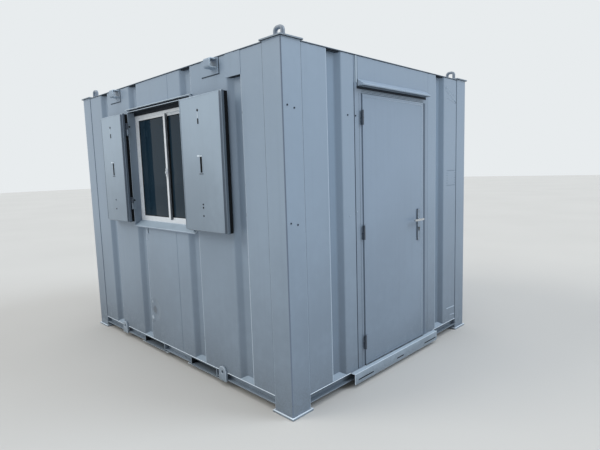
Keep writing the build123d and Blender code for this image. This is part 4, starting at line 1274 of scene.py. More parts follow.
        # The fold takes the paler sill paint, a painted highlight.
        left, right = self.door_fold_y
        fold = ((face, left, foot), (face + 2 * proud, right, head))
        self.bars("door_panel_fold", "sill", [fold], self.seam_round)

    def top_shades(self) -> None:
        """Put dark blocks in the tops of the grooves and under the cover plate, as painted shade."""
        front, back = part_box("front_wall_above")[0].y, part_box("back_wall")[1]
        far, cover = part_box("far_end_wall")[0].x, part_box("groove_cover")[0].z
        half, top = self.groove_half, back.z
        low = top - self.top_shade_height
        runs = []
        for x in self.groove_middles:
            for face, inward in ((front, 1), (back.y, -1)):
                start, end = (face + inward * depth for depth in self.top_shade_reach)
                runs.append(((x - half, start, low), (x + half, end, top)))
        for number, y in enumerate(self.end_groove_middles):
            behind_door = number == 1
            for face, inward in ((far, 1),) if behind_door else ((far, 1), (self.face, -1)):
                start, end = (face + inward * depth for depth in self.top_shade_reach)
                runs.append(((start, y - half, low), (end, y + half, top)))
        start, end = (front + depth for depth in self.top_shade_reach)
        low, top = (cover + shift for shift in self.cover_shade_z)
        x, (left, right) = self.groove_middles[-1], self.cover_shade_x
        runs.append(((x + left, start, low), (x + right, end, top)))
        self.bars("groove_top_shades", "dark_shade", runs, self.top_shade_round)

    def scratches(self) -> None:
        """Raise the scored lines that cross each other high on the door end wall."""
        (left, right), (low, high) = self.patch_y, self.patch_z
        width, height = right - left, high - low
        runs = []
        for number, (start, end) in enumerate(self.score_ends):
            near, far = (step * number * width for step in self.score_steps)
            first = (self.face, left + near, low + start * height)
            last = (self.face, right - far, low + end * height)
            runs.append((first, last, self.score_radii[number % 2]))
        self.beads("scored_lines", "cabin_edge", runs, seed=60)
        start, end = self.cut_shares
        first, last = (right - start * width, low + start * height), (right - end * width, low)
        cut = ((self.face, *first), (self.face, *last), self.score_radii[0])
        self.beads("scored_cut", "line", [cut], seed=66)

    def on_end_wall(self, name: str, finish: str, pattern: Piece, spots: Sequence[Span]) -> None:
        """Set copies of a fixing at places in Y and Z on the door end wall."""
        self.fixings(name, finish, pattern, [((self.face, y, z), (1, 0, 0)) for y, z in spots])

    def blister(self) -> None:
        """Outline with small beads the place where a plate was once fixed."""
        (left, right), (low, high) = self.blister_y, self.blister_z
        across, up = int((right - left) / self.blister_pitch), int((high - low) / self.blister_pitch)
        steps = range(across + 1)
        spots = [(left + step * (right - left) / across, z) for step in steps for z in (low, high)]
        spots += [(y, low + step * (high - low) / up) for step in range(1, up) for y in (left, right)]
        bead = fixing(Head.DOME, self.blister_radius, self.blister_rise)
        self.on_end_wall("beaded_outline", "joint", bead, spots)

    def ledge(self) -> None:
        """Add the bright knocked edges low on the door end wall."""
        runs = [((self.face, *start), (self.face, *end), radius) for start, end, radius in self.knocked_edges]
        self.beads("knocked_edges", "cabin_edge", runs, seed=71)

    def hook(self) -> None:
        """Fix the small shutter hook and its button below the window."""
        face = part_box("front_wall_below")[0].y
        bottom, top = self.hook_z
        steel = self.hook_steel
        parts = [
            block("hook", (left, face, bottom), (right, face - steel, upper), self.hook_round)
            for (left, right), upper in ((self.arm_x, top), (self.tip_x, bottom + steel))
        ]
        x, z = self.button_place
        button = fixing(Head.DOME, self.button_radius, self.button_rise)
        parts.append(spread("button", button, [((x, face, z), (0, -1, 0))]))
        self.add(joined("wall_hook", parts), "cabin_edge")
        left, right = self.hook_seat_x
        seat = ((left, face, bottom + self.hook_seat_lift), (right, face - self.hook_seat_proud, top))
        self.bars("hook_seat", "line", [seat], self.hook_seat_round)

    def screws(self) -> None:
        """Set the screws beside the door, the upper two dark and the lower two painted over."""
        upper, lower = self.screw_places[:2], self.screw_places[2:]
        for name, finish, head, spots in (
            ("end_wall_screws", "line", Head.SOCKET, upper),
            ("painted_screws", "sill", Head.DOME, lower),
        ):
            self.on_end_wall(name, finish, fixing(head, self.screw_radius, self.screw_rise), spots)


@dataclass
class Roof(Assembly):
    """Roof sheet with pressed ribs and a bead of sealant round its edge."""

    sheet_round: float = 0.0018
    sealant: float = 0.004

    def build(self) -> None:
        """Build the roof, and run the sealant under its lip, between the posts."""
        low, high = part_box("roof_sheet")
        upper = lambda middle, along: middle.z > low.z + self.sheet_round
        bends = (Bend(self.sheet_round, 2, upper, finish=1),)
        front, back = low.y + POST_FACE, high.y - POST_FACE
        at_edge = lambda centre: abs(centre.x) > high.x - POST_FACE or not front <= centre.y <= back
        faces = {2: lambda centre, normal: abs(normal.z) < 0.2 and at_edge(centre)}
        self.reshape("roof_sheet", "ribbed_roof", bends, "roof", "cabin_edge", "roof_lip", faces=faces)
        self.keep("roof_beams", "timber")
        long_wall, end_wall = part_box("back_wall"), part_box("far_end_wall")
        faces_y = (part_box("front_wall_above")[0].y, long_wall[1].y)
        faces_x = (end_wall[0].x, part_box("door_wall_beside")[1].x)
        runs = [(*((x.x, y, low.z) for x in long_wall), self.sealant) for y in faces_y]
        runs += [(*((x, y.y, low.z) for y in end_wall), self.sealant) for x in faces_x]
        self.beads("roof_sealant", "line", runs, seed=40)


@dataclass
class Window(Assembly):
    """Folded reveal and sill, drip strip, white frame, two sashes and their glass."""

    steel_round: float = 0.0016
    steel_face: float = 0.002
    head_height: float = 0.050
    head_depth: float = 0.010
    drip_round: float = 0.0008
    drip_shadow_gap: float = 0.001
    drip_shadow_past: float = 0.004
    drip_shadow_proud: float = 0.003
    drip_shadow_round: float = 0.001
    profile_round: float = 0.0024
    sash_stiles: tuple[Sash, ...] = (("sash_outer", 0.024, 0.031, 0.005), ("sash_inner", 0.031, 0.024, 0.015))
    sash_rail: float = 0.020
    gasket: float = 0.005
    gasket_set_in: float = 0.002
    gasket_round: float = 0.0012
    runner_inset: float = 0.032
    runner_half: float = 0.001
    runner_reach: Span = (0.001, 0.010)
    runner_round: float = 0.0005
    brush_width: float = 0.006
    brush_depth: float = 0.009
    brush_clear: float = 0.004
    catch_from_edge: float = 0.0155
    catch_height: float = 1.640
    catch_parts: tuple[tuple[Point, Point, float, int], ...] = (
        ((-0.007, -0.009, -0.035), (0.007, 0.0, 0.035), 0.003, 3),
        ((-0.004, -0.016, -0.010), (0.004, -0.008, 0.010), 0.002, 2),
    )

    def build(self) -> None:
        """Build the window from the steel inwards."""
        self.steel()
        bends = (Bend(self.profile_round, 3),)
        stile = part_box("sash_outer")[1].x - self.profile_round
        shaded = {1: lambda centre, normal: normal.x > 0.6 and centre.x > stile}
        for node, name, faces in (
            ("window_frame", "outer_frame", None),
            ("sash_outer", "left_sash", shaded),
            ("sash_inner", "right_sash", None),
        ):
            self.reshape(node, name, bends, "profile", "profile_side", faces=faces)
        self.keep("window_glass", "glass")
        self.gaskets()
        self.runners()
        self.catch()

    def steel(self) -> None:
        """Fold the reveal, the sill and the drip strip with painted light and shade on their faces, and a
        dark strip between the drip strip and the reveal as painted shadow.
        """
        worn = (Bend(self.steel_round, 2, finish=1),)
        low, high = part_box("window_reveal")
        at_head = lambda centre: centre.z > high.z - self.head_height and centre.y > low.y + self.head_depth
        on_face = lambda centre, normal, face: normal.y < -STRAIGHT and centre.y < face + self.steel_face
        faces = {
            2: lambda centre, normal: at_head(centre) and (normal.z < -SLANTED or normal.y < -SLANTED),
            3: lambda centre, normal: on_face(centre, normal, low.y),
        }
        finishes = ("reveal", "cabin_edge", "soffit", "lip")
        self.reshape("window_reveal", "folded_reveal", worn, *finishes, faces=faces)
        sill_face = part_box("window_sill")[0].y
        faces = {2: lambda centre, normal: on_face(centre, normal, sill_face)}
        self.reshape("window_sill", "folded_sill", worn, "sill", "rail_edge", "cabin", faces=faces)
        self.reshape("window_drip", "drip_strip", (Bend(self.drip_round, 2, finish=1),), "plug", "rail_edge")
        drip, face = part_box("window_drip")[0].z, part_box("front_wall_above")[0].y
        start = (low.x - self.drip_shadow_past, face, high.z + self.drip_shadow_gap)
        end = (high.x + self.drip_shadow_past, face - self.drip_shadow_proud, drip - self.drip_shadow_gap)
        self.bars("drip_shadow_strip", "gasket", [(start, end)], self.drip_shadow_round)

    def gaskets(self) -> None:
        """Fit a dark gasket round each pane, on both faces."""
        runs = []
        for node, left, right, wide in self.sash_stiles:
            low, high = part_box(node)
            x, z = (low.x + left, high.x - right), (low.z + self.sash_rail, high.z - self.sash_rail)
            y = (low.y + self.gasket_set_in, high.y - self.gasket_set_in)
            runs += [
                ((x[0], y[0], z[0]), (x[0] + wide, y[1], z[1])),
                ((x[1] - self.gasket, y[0], z[0]), (x[1], y[1], z[1])),
                ((x[0], y[0], z[0]), (x[1], y[1], z[0] + self.gasket)),
                ((x[0], y[0], z[1] - self.gasket), (x[1], y[1], z[1])),
            ]
        self.bars("glass_gaskets", "gasket", runs, self.gasket_round)

    def runners(self) -> None:
        """Add the runners that the sashes stand between, and a dark brush seal beside the meeting stile,
        widened as painted shade for the gap.
        """
        low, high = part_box("window_frame")
        outer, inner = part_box("sash_outer"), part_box("sash_inner")
        middle, half, inset = (outer[1].y + inner[0].y) / 2, self.runner_half, self.runner_inset
        past, inward = self.runner_reach
        foot, head = outer[0].z, outer[1].z
        runs = [
            ((low.x + inset, middle - half, bottom), (high.x - inset, middle + half, top))
            for bottom, top in ((foot - past, foot + inward), (head - inward, head + past))
        ]
        self.bars("sash_runners", "profile", runs, self.runner_round)
        start = (outer[1].x, outer[1].y, outer[0].z + self.brush_clear)
        end = (outer[1].x + self.brush_width, inner[0].y + self.brush_depth, outer[1].z - self.brush_clear)
        self.bars("stile_brush_and_gap_shade", "gasket", [(start, end)], self.gasket_round)

    def catch(self) -> None:
        """Add the small pull and catch on the meeting stile."""
        low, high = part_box("sash_outer")
        place = Vector((high.x - self.catch_from_edge, low.y, self.catch_height))
        parts = [
            block("catch", place + Vector(start), place + Vector(end), radius, segments)
            for start, end, radius, segments in self.catch_parts
        ]
        self.add(joined("sash_catch", parts), "profile")


class Side(Enum):
    """Which side of the window a shutter hangs on."""

    LEFT = ("left", -1)
    RIGHT = ("right", 1)


@dataclass(frozen=True)
class SmallBar:
    """A bar on a shutter's face, with X from the shutter's centre line."""

    part: str
    finish: str
    x: Span
    z: Span
    radius: float = 0.0009
    segments: int = 3


@dataclass
class Shutter(Assembly):
    """One folded-back shutter of two nested trays, with its hinges and small fittings."""

    side: Side
    tray_round: float = 0.0045
    tray_step: float = -1.275
    rim: float = 0.006
    rim_drop: float = 0.0008
    press: float = 0.002
    skin: float = 0.0004
    slot_half: Span = (0.012, 0.061)
    slot_height: float = 1.690
    slot_floor: Span = (0.0022, 0.012)
    slot_floor_round: float = 0.0006
    small_bars: tuple[SmallBar, ...] = (
        SmallBar("slot_hood", "rail_edge", (-0.048, 0.016), (1.743, 1.755)),
        SmallBar("slot_lip", "hinge", (-0.030, 0.018), (1.617, 1.624)),
        SmallBar("bolt_slide", "shutter_edge", (-0.0195, -0.0125), (2.016, 2.056), 0.0008, 2),
        SmallBar("bolt_foot", "dark", (-0.0225, -0.0095), (1.974, 2.012), 0.001),
    )
    upper_shift: float = -0.016
    upper_dot: float = 2.070
    upper_dot_radius: float = 0.009
    lower_dots: tuple[float, ...] = (1.400, 1.376, 1.316)
    lower_shift: float = -0.004
    dot_radius: float = 0.0065
    dot_rise: float = 0.002
    leaf_width: float = 0.034
    leaf_height: float = 0.053
    leaf_steel: float = 0.002
    leaf_round: float = 0.0008
    leaf_screws: Span = (0.013, 0.040)
    leaf_screw_x: float = 0.0204
    leaf_screw_radius: float = 0.004
    leaf_screw_rise: float = 0.0012
    hinge_height: float = 0.106
    seal_width: float = 0.010
    seal_depth: float = 0.030
    seal_round: float = 0.002
    seal_clear: float = 0.004

    def build(self) -> None:
        """Build the shutter's trays, slot rim, fittings and hinges."""
        self.word, self.out = self.side.value
        self.body = f"{self.word}_shutter"
        self.low, self.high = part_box(f"shutter_{self.word}")
        self.middle = (self.low.x + self.high.x) / 2
        self.panel = self.low.y + self.rim_drop + self.press
        left, right = self.low.x, self.high.x
        self.hinge_edge, self.free_edge = (right, left) if self.side is Side.LEFT else (left, right)
        self.trays()
        self.slot()
        self.fittings()
        self.hinges()
        self.seal()

    def press_panel(self, tray: Piece) -> None:
        """Press the front panel in behind a narrow flat rim."""
        front = lambda centre, normal: normal.y < -0.99 and centre.y < self.low.y + self.rim_drop / 2
        with editing(tray):
            pick_faces(tray, front)
            bpy.ops.mesh.inset(thickness=self.rim, depth=-self.rim_drop)
            bpy.ops.mesh.inset(thickness=self.press, depth=-self.press)

    def outline(self, middle: Vector) -> bool:
        """Whether a place is on the outline of the front tray."""
        on_x = min(abs(middle.x - self.low.x), abs(middle.x - self.high.x)) < self.rim_drop
        on_z = min(abs(middle.z - self.low.z), abs(middle.z - self.high.z)) < self.rim_drop
        return on_x or on_z

    def trays(self) -> None:
        """Press the panel, round the outline, and set off the rims pale as painted highlight, the sides
        darker and the slot walls dark as painted shade.
        """
        at_front = lambda middle: self.outline(middle) and middle.y < self.low.y + self.rim_drop
        side_facing = lambda middle: middle.x > self.high.x - self.rim_drop
        pale = lambda middle, along: at_front(middle) and not side_facing(middle)
        plain = lambda middle, along: self.outline(middle) and not pale(middle, along)
        level = lambda middle, along: pale(middle, along) and abs(along.x) > STRAIGHT
        bends = (
            Bend(1.5 * self.tray_round, 3, level, finish=1),
            Bend(self.tray_round, 3, pale, finish=1),
            Bend(self.tray_round, 3, plain),
        )
        facing = lambda normal: normal.x > 0.3 or normal.x < -STRAIGHT
        on_side = lambda centre, normal: abs(centre.x - self.middle) > 0.1 and facing(normal)
        step = self.tray_step - self.rim_drop
        free_rear = lambda centre, normal: self.out * normal.x > 0 and centre.y > step
        faces = {
            2: on_side,
            3: lambda centre, normal: on_side(centre, normal) and free_rear(centre, normal),
            4: lambda centre, normal: self.in_slot(centre) and abs(normal.y) < SLANTED,
        }
        node, name = f"shutter_{self.word}", f"{self.word}_shutter_trays"
        finishes = ("shutter", "shutter_edge", "shutter_side", "shutter_rear", "dark")
        self.reshape(node, name, bends, *finishes, faces=faces, press=self.press_panel, body=self.body)

    def in_slot(self, place: Vector) -> bool:
        """Whether a place is on a wall of the pull slot."""
        (half_x, half_z), slack = self.slot_half, self.rim_drop
        across = abs(place.x - self.middle) < half_x + slack
        return across and abs(place.z - self.slot_height) < half_z + slack and place.y > self.low.y + slack

    def slot(self) -> None:
        """Line the pull slot dark, as painted shade."""
        (half_x, half_z), skin, (behind, deep) = self.slot_half, self.skin, self.slot_floor
        half_x, half_z = half_x - skin, half_z - skin
        start = (self.middle - half_x, self.panel + behind, self.slot_height - half_z)
        end = (self.middle + half_x, self.low.y + deep - skin, self.slot_height + half_z)
        self.bars(f"{self.word}_slot_floor", "dark", [(start, end)], self.slot_floor_round, body=self.body)

    def fittings(self) -> None:
        """Add the slot's bright hood and its lip, the bolt slide, and the dots beside the centre line."""
        front, panel = self.low.y + self.skin, self.panel
        for bar in self.small_bars:
            (left, right), (foot, head) = bar.x, bar.z
            run = ((self.middle + left, front, foot), (self.middle + right, panel, head))
            self.bars(f"{self.word}_{bar.part}", bar.finish, [run], bar.radius, bar.segments, self.body)
        heights = self.lower_dots if self.side is Side.RIGHT else self.lower_dots[::2]
        at = lambda shift, z: ((self.middle + shift, self.panel, z), (0, -1, 0))
        places = [at(self.lower_shift, height) for height in heights]
        lower = spread("dots", fixing(Head.SOCKET, self.dot_radius, self.dot_rise), places)
        pattern = fixing(Head.SOCKET, self.upper_dot_radius, self.dot_rise)
        upper = spread("dot", pattern, [at(self.upper_shift, self.upper_dot)])
        self.add(joined(f"{self.word}_shutter_dots", [lower, upper]), "dark", body=self.body)

    def seal(self) -> None:
        """Run a dark seal up the back of both side edges, open at the hinges, deep enough to stand as painted
        shade for the gap behind the shutter.
        """
        low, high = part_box("shutter_hinges")
        y = (self.high.y, self.high.y + self.seal_depth)
        clear, width = self.seal_clear, self.seal_width
        bottom, top = self.low.z + clear, self.high.z - clear
        free = [self.free_edge - self.out * shift for shift in (clear, clear + width)]
        hinged = [self.hinge_edge + self.out * shift for shift in (width, 2 * width)]
        runs = [((free[0], y[0], bottom), (free[1], y[1], top))]
        for start, end in (
            (bottom, low.z - clear),
            (low.z + self.hinge_height + clear, high.z - self.hinge_height - clear),
            (high.z + clear, top),
        ):
            if end - start > 2 * width:
                runs.append(((hinged[0], y[0], start), (hinged[1], y[1], end)))
        self.bars(f"{self.word}_shutter_seals_and_gap_shade", "gasket", runs, self.seal_round, body=self.body)

    def hinges(self) -> None:
        """Fix hinge leaves to the shutter's back, and keep the knuckles."""
        knuckle = f"shutter_knuckle_{self.word}"
        self.keep(knuckle, "hinge")
        low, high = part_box(knuckle)
        edge, reach, back = self.hinge_edge, self.out * self.leaf_width, self.high.y
        outer = back + self.leaf_steel
        leaves, places = [], []
        for bottom in (low.z, high.z - self.leaf_height):
            top = bottom + self.leaf_height
            leaves.append(block("leaf", (edge, back, bottom), (edge + reach, outer, top), self.leaf_round))
            x = edge + self.out * self.leaf_screw_x
            places += [((x, outer, bottom + step), (0, 1, 0)) for step in self.leaf_screws]
        screws = spread("screw", fixing(Head.SOCKET, self.leaf_screw_radius, self.leaf_screw_rise), places)
        self.add(joined(f"{self.word}_shutter_leaves", [*leaves, screws]), "leaf", body=self.body)


@dataclass
class JambHinges(Assembly):
    """Fixed halves of the shutters' hinges, with leaves on the reveal and the round bolt holes."""

    inside: float = 0.006
    leaf_height: float = 0.106
    leaf_y: Span = (0.001, 0.026)
    leaf_steel: float = 0.0018
    leaf_round: float = 0.0006
    screw_y: float = 0.018
    screw_steps: Span = (0.014, 0.046)
    screw_radius: float = 0.0035
    screw_rise: float = 0.0012
    hole_y: float = 0.0105
    hole_radius: float = 0.0085
    hole_rise: float = 0.0004
    hole_heights: Span = (1.397, 2.061)

    def build(self) -> None:
        """Keep the fixed knuckles and screw leaves inside the jambs."""
        self.keep("shutter_hinges", "leaf")
        low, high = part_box("window_reveal")
        hinge_low, hinge_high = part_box("shutter_hinges")
        height, (front, back) = self.leaf_height, self.leaf_y
        leaves, places, holes = [], [], []
        for bottom, hole in zip((hinge_low.z, hinge_high.z - height), self.hole_heights):
            for edge, inward in ((low.x + self.inside, 1), (high.x - self.inside, -1)):
                face = edge + inward * self.leaf_steel
                start, end = (edge, low.y + front, bottom), (face, low.y + back, bottom + height)
                leaves.append(block("leaf", start, end, self.leaf_round))
                holes.append(((face, low.y + self.hole_y, hole), (inward, 0, 0)))
                for step in self.screw_steps:
                    places.append(((face, low.y + self.screw_y, bottom + step), (inward, 0, 0)))
        screws = spread("screw", fixing(Head.SOCKET, self.screw_radius, self.screw_rise), places)
        self.add(joined("jamb_leaves", [*leaves, screws]), "leaf")
        self.fixings("jamb_holes", "dark", fixing(Head.HOLE, self.hole_radius, self.hole_rise), holes)


@dataclass
class Door(Assembly):
    """Steel door: frame, leaf with its border, hinges, lever, lock, seal and hood."""

    frame_round: float = 0.0022
    frame_width: float = 0.030
    leaf_round: float = 0.0014
    leaf_face: float = 0.004
    leaf_border: float = 0.0216
    plate_round: float = 0.003
    lever_round: float = 0.0068
    lever_straight: float = 0.055
    cylinder_round: float = 0.001
    hood_round: float = 0.0014
    hood_line: float = 0.004
    hood_line_round: float = 0.0006
    seal_width: float = 0.006
    seal_round: float = 0.0012
    seal_past: float = 0.002
    seal_x: Span = (-0.006, -0.001)
    sill_gap_shade: float = 0.0015
    sill_gap_shade_past: float = 0.003
    fine_round: float = 0.0004
    shade_x: Span = (0.005, 0.0005)
    shade_y: Span = (0.003, 0.001)
    shade_inset: float = 0.003
    shade_round: float = 0.0008
    tail_half: float = 0.005
    tail_z: Span = (0.016, 0.006)
    tail_round: float = 0.002
    key_height: float = 1.101
    key_half: float = 0.0008
    key_x: Span = (0.001, 0.0003)
    key_z: Span = (0.005, 0.004)
    key_round: float = 0.0003
    screw_inset: float = 0.014
    screw_radius: float = 0.0045
    screw_rise: float = 0.0014
    joint_width: float = 0.003
    skin: float = 0.0012
    fold_y: float = -0.447
    fold_proud: float = 0.00072
    fold_top: float = 2.164
    latch_shade_y: Span = (0.4385, 0.480)
    latch_shade_past: float = 0.002
    slat_heights: tuple[float, ...] = (2.164, 2.174, 2.184)
    slat_half: float = 0.0014
    shade_drop: Span = (0.020, 0.0005)
    band_gap: float = 0.001
    band_round: float = 0.0002

    def build(self) -> None:
        """Build the door from its frame outwards."""
        self.low, self.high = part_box("door_leaf")
        left, right = self.low.y - self.frame_width, self.high.y + self.frame_width
        inner = lambda middle, along: left < middle.y < right
        self.reshape("door_frame", "folded_door_frame", (Bend(self.frame_round, 2, inner),), "frame")
        self.leaf()
        self.hood()
        self.keep("door_hinges", "hinge")
        self.knuckles()
        self.handle()
        self.seal()
        self.folds()

    def knuckles(self) -> None:
        """Round the moving knuckles, with their leaves in the door's paint."""
        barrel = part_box("door_hinges")[1].y + self.leaf_round
        bends, faces = (Bend(self.hood_round / 2, 2),), {1: lambda centre, normal: centre.y > barrel}
        self.reshape("door_knuckles", "rolled_knuckles", bends, "hinge", "door", faces=faces, body="door")

    def leaf(self) -> None:
        """Press the leaf, with its border paler along the top and the latch side as painted highlight,
        slightly worn.
        """
        front, side, top = self.high - Vector((self.leaf_face, self.leaf_border, self.leaf_border))
        bright = lambda middle, along: middle.x > front and (middle.z > top or middle.y > side)
        plain = lambda middle, along: not bright(middle, along)
        bends = (Bend(2 * self.leaf_round, 2, bright, finish=1), Bend(self.leaf_round, 2, plain))
        self.reshape("door_leaf", "pressed_door_leaf", bends, "door", "door_edge", body="door")

    def hood(self) -> None:
        """Fold the hood, pale along its edges and on its -Y end as painted highlight and dark underneath as
        painted shade, with dark lines at its ends as painted shadow.
        """
        low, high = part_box("door_hood")
        bends = (Bend(self.hood_round, 2, finish=1),)
        faces = {
            1: lambda centre, normal: normal.y < -STRAIGHT,
            2: lambda centre, normal: normal.z < -SLANTED,
        }
        self.reshape("door_hood", "folded_hood", bends, "cabin", "cabin_edge", "soffit", faces=faces)
        line = self.hood_line
        ends = ((low.y - line, low.y), (high.y, high.y + line))
        runs = [((low.x, start, low.z), (low.x + line / 2, end, high.z)) for start, end in ends]
        self.bars("hood_end_shadows", "line", runs, self.hood_line_round)

    def folds(self) -> None:
        """Mark the joint and the fold of the frame's hinge side, a painted shade strip on the latch side, and
        the painted shade band and slats of its head.
        """
        low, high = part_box("door_frame")
        hood, face, skin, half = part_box("door_hood")[0].z, high.x, self.skin, self.joint_width / 2
        joint = ((face, low.y - half, low.z), (face + skin, low.y + half, high.z))
        left, right = self.fold_y - half / 2, self.fold_y + half / 2
        fold = ((face, left, low.z), (face + self.fold_proud, right, self.fold_top))
        self.bars("frame_joints", "line", [joint, fold], self.fine_round)
        left, right = self.latch_shade_y
        soft = ((face, left, self.low.z), (face + skin, right, self.high.z + self.latch_shade_past))
        self.bars("latch_side_shade", "joint", [soft], self.fine_round)
        foot, head = (hood - drop for drop in self.shade_drop)
        left, right = low.y + self.frame_width, high.y - self.frame_width
        self.bars("head_shade", "dark_shade", [((face, left, foot), (face + skin, right, head))], self.fine_round)
        left, right = self.low.y, self.high.y
        band = ((face, left, self.high.z + self.band_gap), (face + skin / 2, right, foot))
        self.bars("head_band", "cabin", [band], self.band_round)
        half = self.slat_half
        slats = [((face, left, z - half), (face + skin, right, z + half)) for z in self.slat_heights]
        self.bars("head_slats", "line", slats, self.fine_round)

    def handle(self) -> None:
        """Build the plates with a dark strip along them as painted shadow, the lever, and the lock with its
        dark keyway.
        """
        bends = (Bend(self.plate_round, 3),)
        self.reshape("handle_plates", "rounded_handle_plates", bends, "lock_plate", body="door")
        inner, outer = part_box("handle_plates")
        (back, front), (left, right), inset = self.shade_x, self.shade_y, self.shade_inset
        start = (outer.x - back, inner.y - left, inner.z + inset)
        end = (outer.x - front, inner.y + right, outer.z - inset)
        self.bars("plate_shade", "dark", [(start, end)], self.shade_round, body="door")
        middle = (inner.x + outer.x) / 2
        outline = lambda place, along: abs(along.x) < 0.3 and abs(place.x - middle) > self.lever_straight
        self.reshape("door_lever", "bent_lever", (Bend(self.lever_round, 4, outline),), "satin", body="lever")
        self.reshape("lock_cylinder", "lock_barrel", (Bend(self.cylinder_round, 2),), "brass", body="door")
        low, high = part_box("lock_cylinder")
        y, z = (low.y + high.y) / 2, self.key_height
        half, (drop, rise) = self.tail_half, self.tail_z
        tail = ((low.x, y - half, low.z - drop), (high.x, y + half, low.z + rise))
        self.bars("lock_tail", "brass", [tail], self.tail_round, 3, body="door")
        half, (deep, proud), (drop, rise) = self.key_half, self.key_x, self.key_z
        key = ((high.x - deep, y - half, z - drop), (high.x + proud, y + half, z + rise))
        self.bars("keyway", "dark", [key], self.key_round, body="door")
        places = [
            ((face, y, height), (outward, 0, 0))
            for height in (inner.z + self.screw_inset, outer.z - self.screw_inset)
            for face, outward in ((outer.x, 1), (inner.x, -1))
        ]
        pattern = fixing(Head.SOCKET, self.screw_radius, self.screw_rise)
        self.fixings("plate_screws", "satin", pattern, places, body="door")

    def seal(self) -> None:
        """Run a dark seal round the stop, behind the leaf, and dark strips under the leaf as painted shadow
        of the gap there.
        """
        start, end = (self.low.x + shift for shift in self.seal_x)
        past, width = self.seal_past, self.seal_width
        left, right, foot, head = self.low.y - past, self.high.y + past, self.low.z - past, self.high.z + past
        runs = (
            ((start, left, foot), (end, left + width, head)),
            ((start, right - width, foot), (end, right, head)),
            ((start, left, head - width), (end, right, head)),
        )
        self.bars("door_seal", "seal", runs, self.seal_round)
        rail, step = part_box("end_rails")[1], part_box("threshold")[1]
        inner = ((self.low.x, left, rail.z), (rail.x, right, rail.z + self.sill_gap_shade))
        outer = ((rail.x, left, step.z), (self.high.x + self.sill_gap_shade_past, right, step.z + self.sill_gap_shade))
        self.bars("sill_gap_shade", "dark", [inner, outer], self.fine_round)


@dataclass
class Loops(Assembly):
    """Bent strap loops on their plates, at the top of the long walls."""

    plate_round: float = 0.0012
    plate_width: float = 0.208
    plate_steel: float = 0.004
    strap_round: float = 0.003
    strap_width: float = 0.074
    bead: float = 0.003
    line_proud: float = 0.0028
    line_round: float = 0.0007
    line_below: float = 0.007
    line_beside: float = 0.006

    def build(self) -> None:
        """Build the plates, the straps and their welds."""
        self.reshape("bracket_plates", "doubler_plates", (Bend(self.plate_round, 2),), "cabin")
        outline = lambda middle, along: abs(along.x) < SLANTED
        bends = (Bend(self.strap_round, 3, outline, finish=1),)
        # The straps' +X ends take the pale paint as painted light, their inner sides the soffit paint as
        # painted shade.
        faces = {
            1: lambda centre, normal: normal.x > STRAIGHT,
            2: lambda centre, normal: abs(normal.x) < SLANTED and normal.y * centre.y < 0,
        }
        self.reshape("wall_loops", "bent_straps", bends, "cabin", "plug", "soffit", faces=faces)
        self.welds()

    def welds(self) -> None:
        """Lay a bead along each foot of each strap, and dark lines below and beside the plates as painted
        shadow.
        """
        loop_low, loop_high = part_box("wall_loops")
        plate_low, plate_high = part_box("bracket_plates")
        beads, lines = [], []
        for face in (plate_low.y, plate_high.y):
            for left in (loop_low.x, loop_high.x - self.strap_width):
                for height in (loop_low.z, loop_high.z):
                    beads.append(((left, face, height), (left + self.strap_width, face, height), self.bead))
            wall = face - math.copysign(self.plate_steel, face)
            proud = wall + math.copysign(self.line_proud, face)
            low, high = plate_low.z, plate_high.z
            for left in (plate_low.x, plate_high.x - self.plate_width):
                right = left + self.plate_width
                lines.append(((left, wall, low - self.line_below), (right, proud, low)))
                lines.append(((right, wall, low - self.line_below), (right + self.line_beside, proud, high)))
        self.beads("loop_welds", "cabin", beads)
        self.bars("plate_shadow_lines", "line", lines, self.line_round)


@dataclass
class Room(Assembly):
    """Lined room: faced boards, cover strips, skirting and ceiling."""

    board_width: float = 1.22
    board: float = 0.009
    strip_width: float = 0.045
    strip_steel: float = 0.004
    strip_round: float = 0.0015
    skirting_height: float = 0.095
    skirting_depth: float = 0.014
    skirting_round: float = 0.004

    def build(self) -> None:
        """Dress the boards, then cover their joints."""
        for node in ("linings_long", "linings_end", "ceiling"):
            self.keep(node, "lining")
        long_low, long_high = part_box("linings_long")
        end_low, end_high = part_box("linings_end")
        self.low = Vector((end_low.x + self.board, long_low.y + self.board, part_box("floor_deck")[1].z))
        self.high = Vector((end_high.x - self.board, long_high.y - self.board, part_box("ceiling")[0].z))
        self.strips()
        self.skirting()

    def strips(self) -> None:
        """Cover the upright joints of the boards and the joint of the ceiling."""
        low, high = self.low, self.high
        half, steel = self.strip_width / 2, self.strip_steel
        left, right = (corner.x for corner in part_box("window_reveal"))
        joints = (low.x + self.board_width, high.x - self.board_width)
        runs = []
        for x in joints:
            runs.append(((x - half, high.y - steel, low.z), (x + half, high.y, high.z)))
            if not left - half < x < right + half:
                runs.append(((x - half, low.y, low.z), (x + half, low.y + steel, high.z)))
        middle = (low.y + high.y) / 2
        runs.append(((low.x, middle - half, low.z), (low.x + steel, middle + half, high.z)))
        runs += [((x - half, low.y, high.z - steel), (x + half, high.y, high.z)) for x in joints]
        self.bars("cover_strips", "strip", runs, self.strip_round)

    def skirting(self) -> None:
        """Run a skirting board round the foot of the walls, up to the doorway."""
        low, high = self.low, self.high
        depth, top = self.skirting_depth, low.z + self.skirting_height
        frame_low, frame_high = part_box("door_frame")
        runs = (
            ((low.x, low.y, low.z), (high.x, low.y + depth, top)),
            ((low.x, high.y - depth, low.z), (high.x, high.y, top)),
            ((low.x, low.y + depth, low.z), (low.x + depth, high.y - depth, top)),
            ((high.x - depth, low.y + depth, low.z), (high.x, frame_low.y, top)),
            ((high.x - depth, frame_high.y, low.z), (high.x, high.y - depth, top)),
        )
        self.bars("skirting_boards", "strip", runs, self.skirting_round, 3)


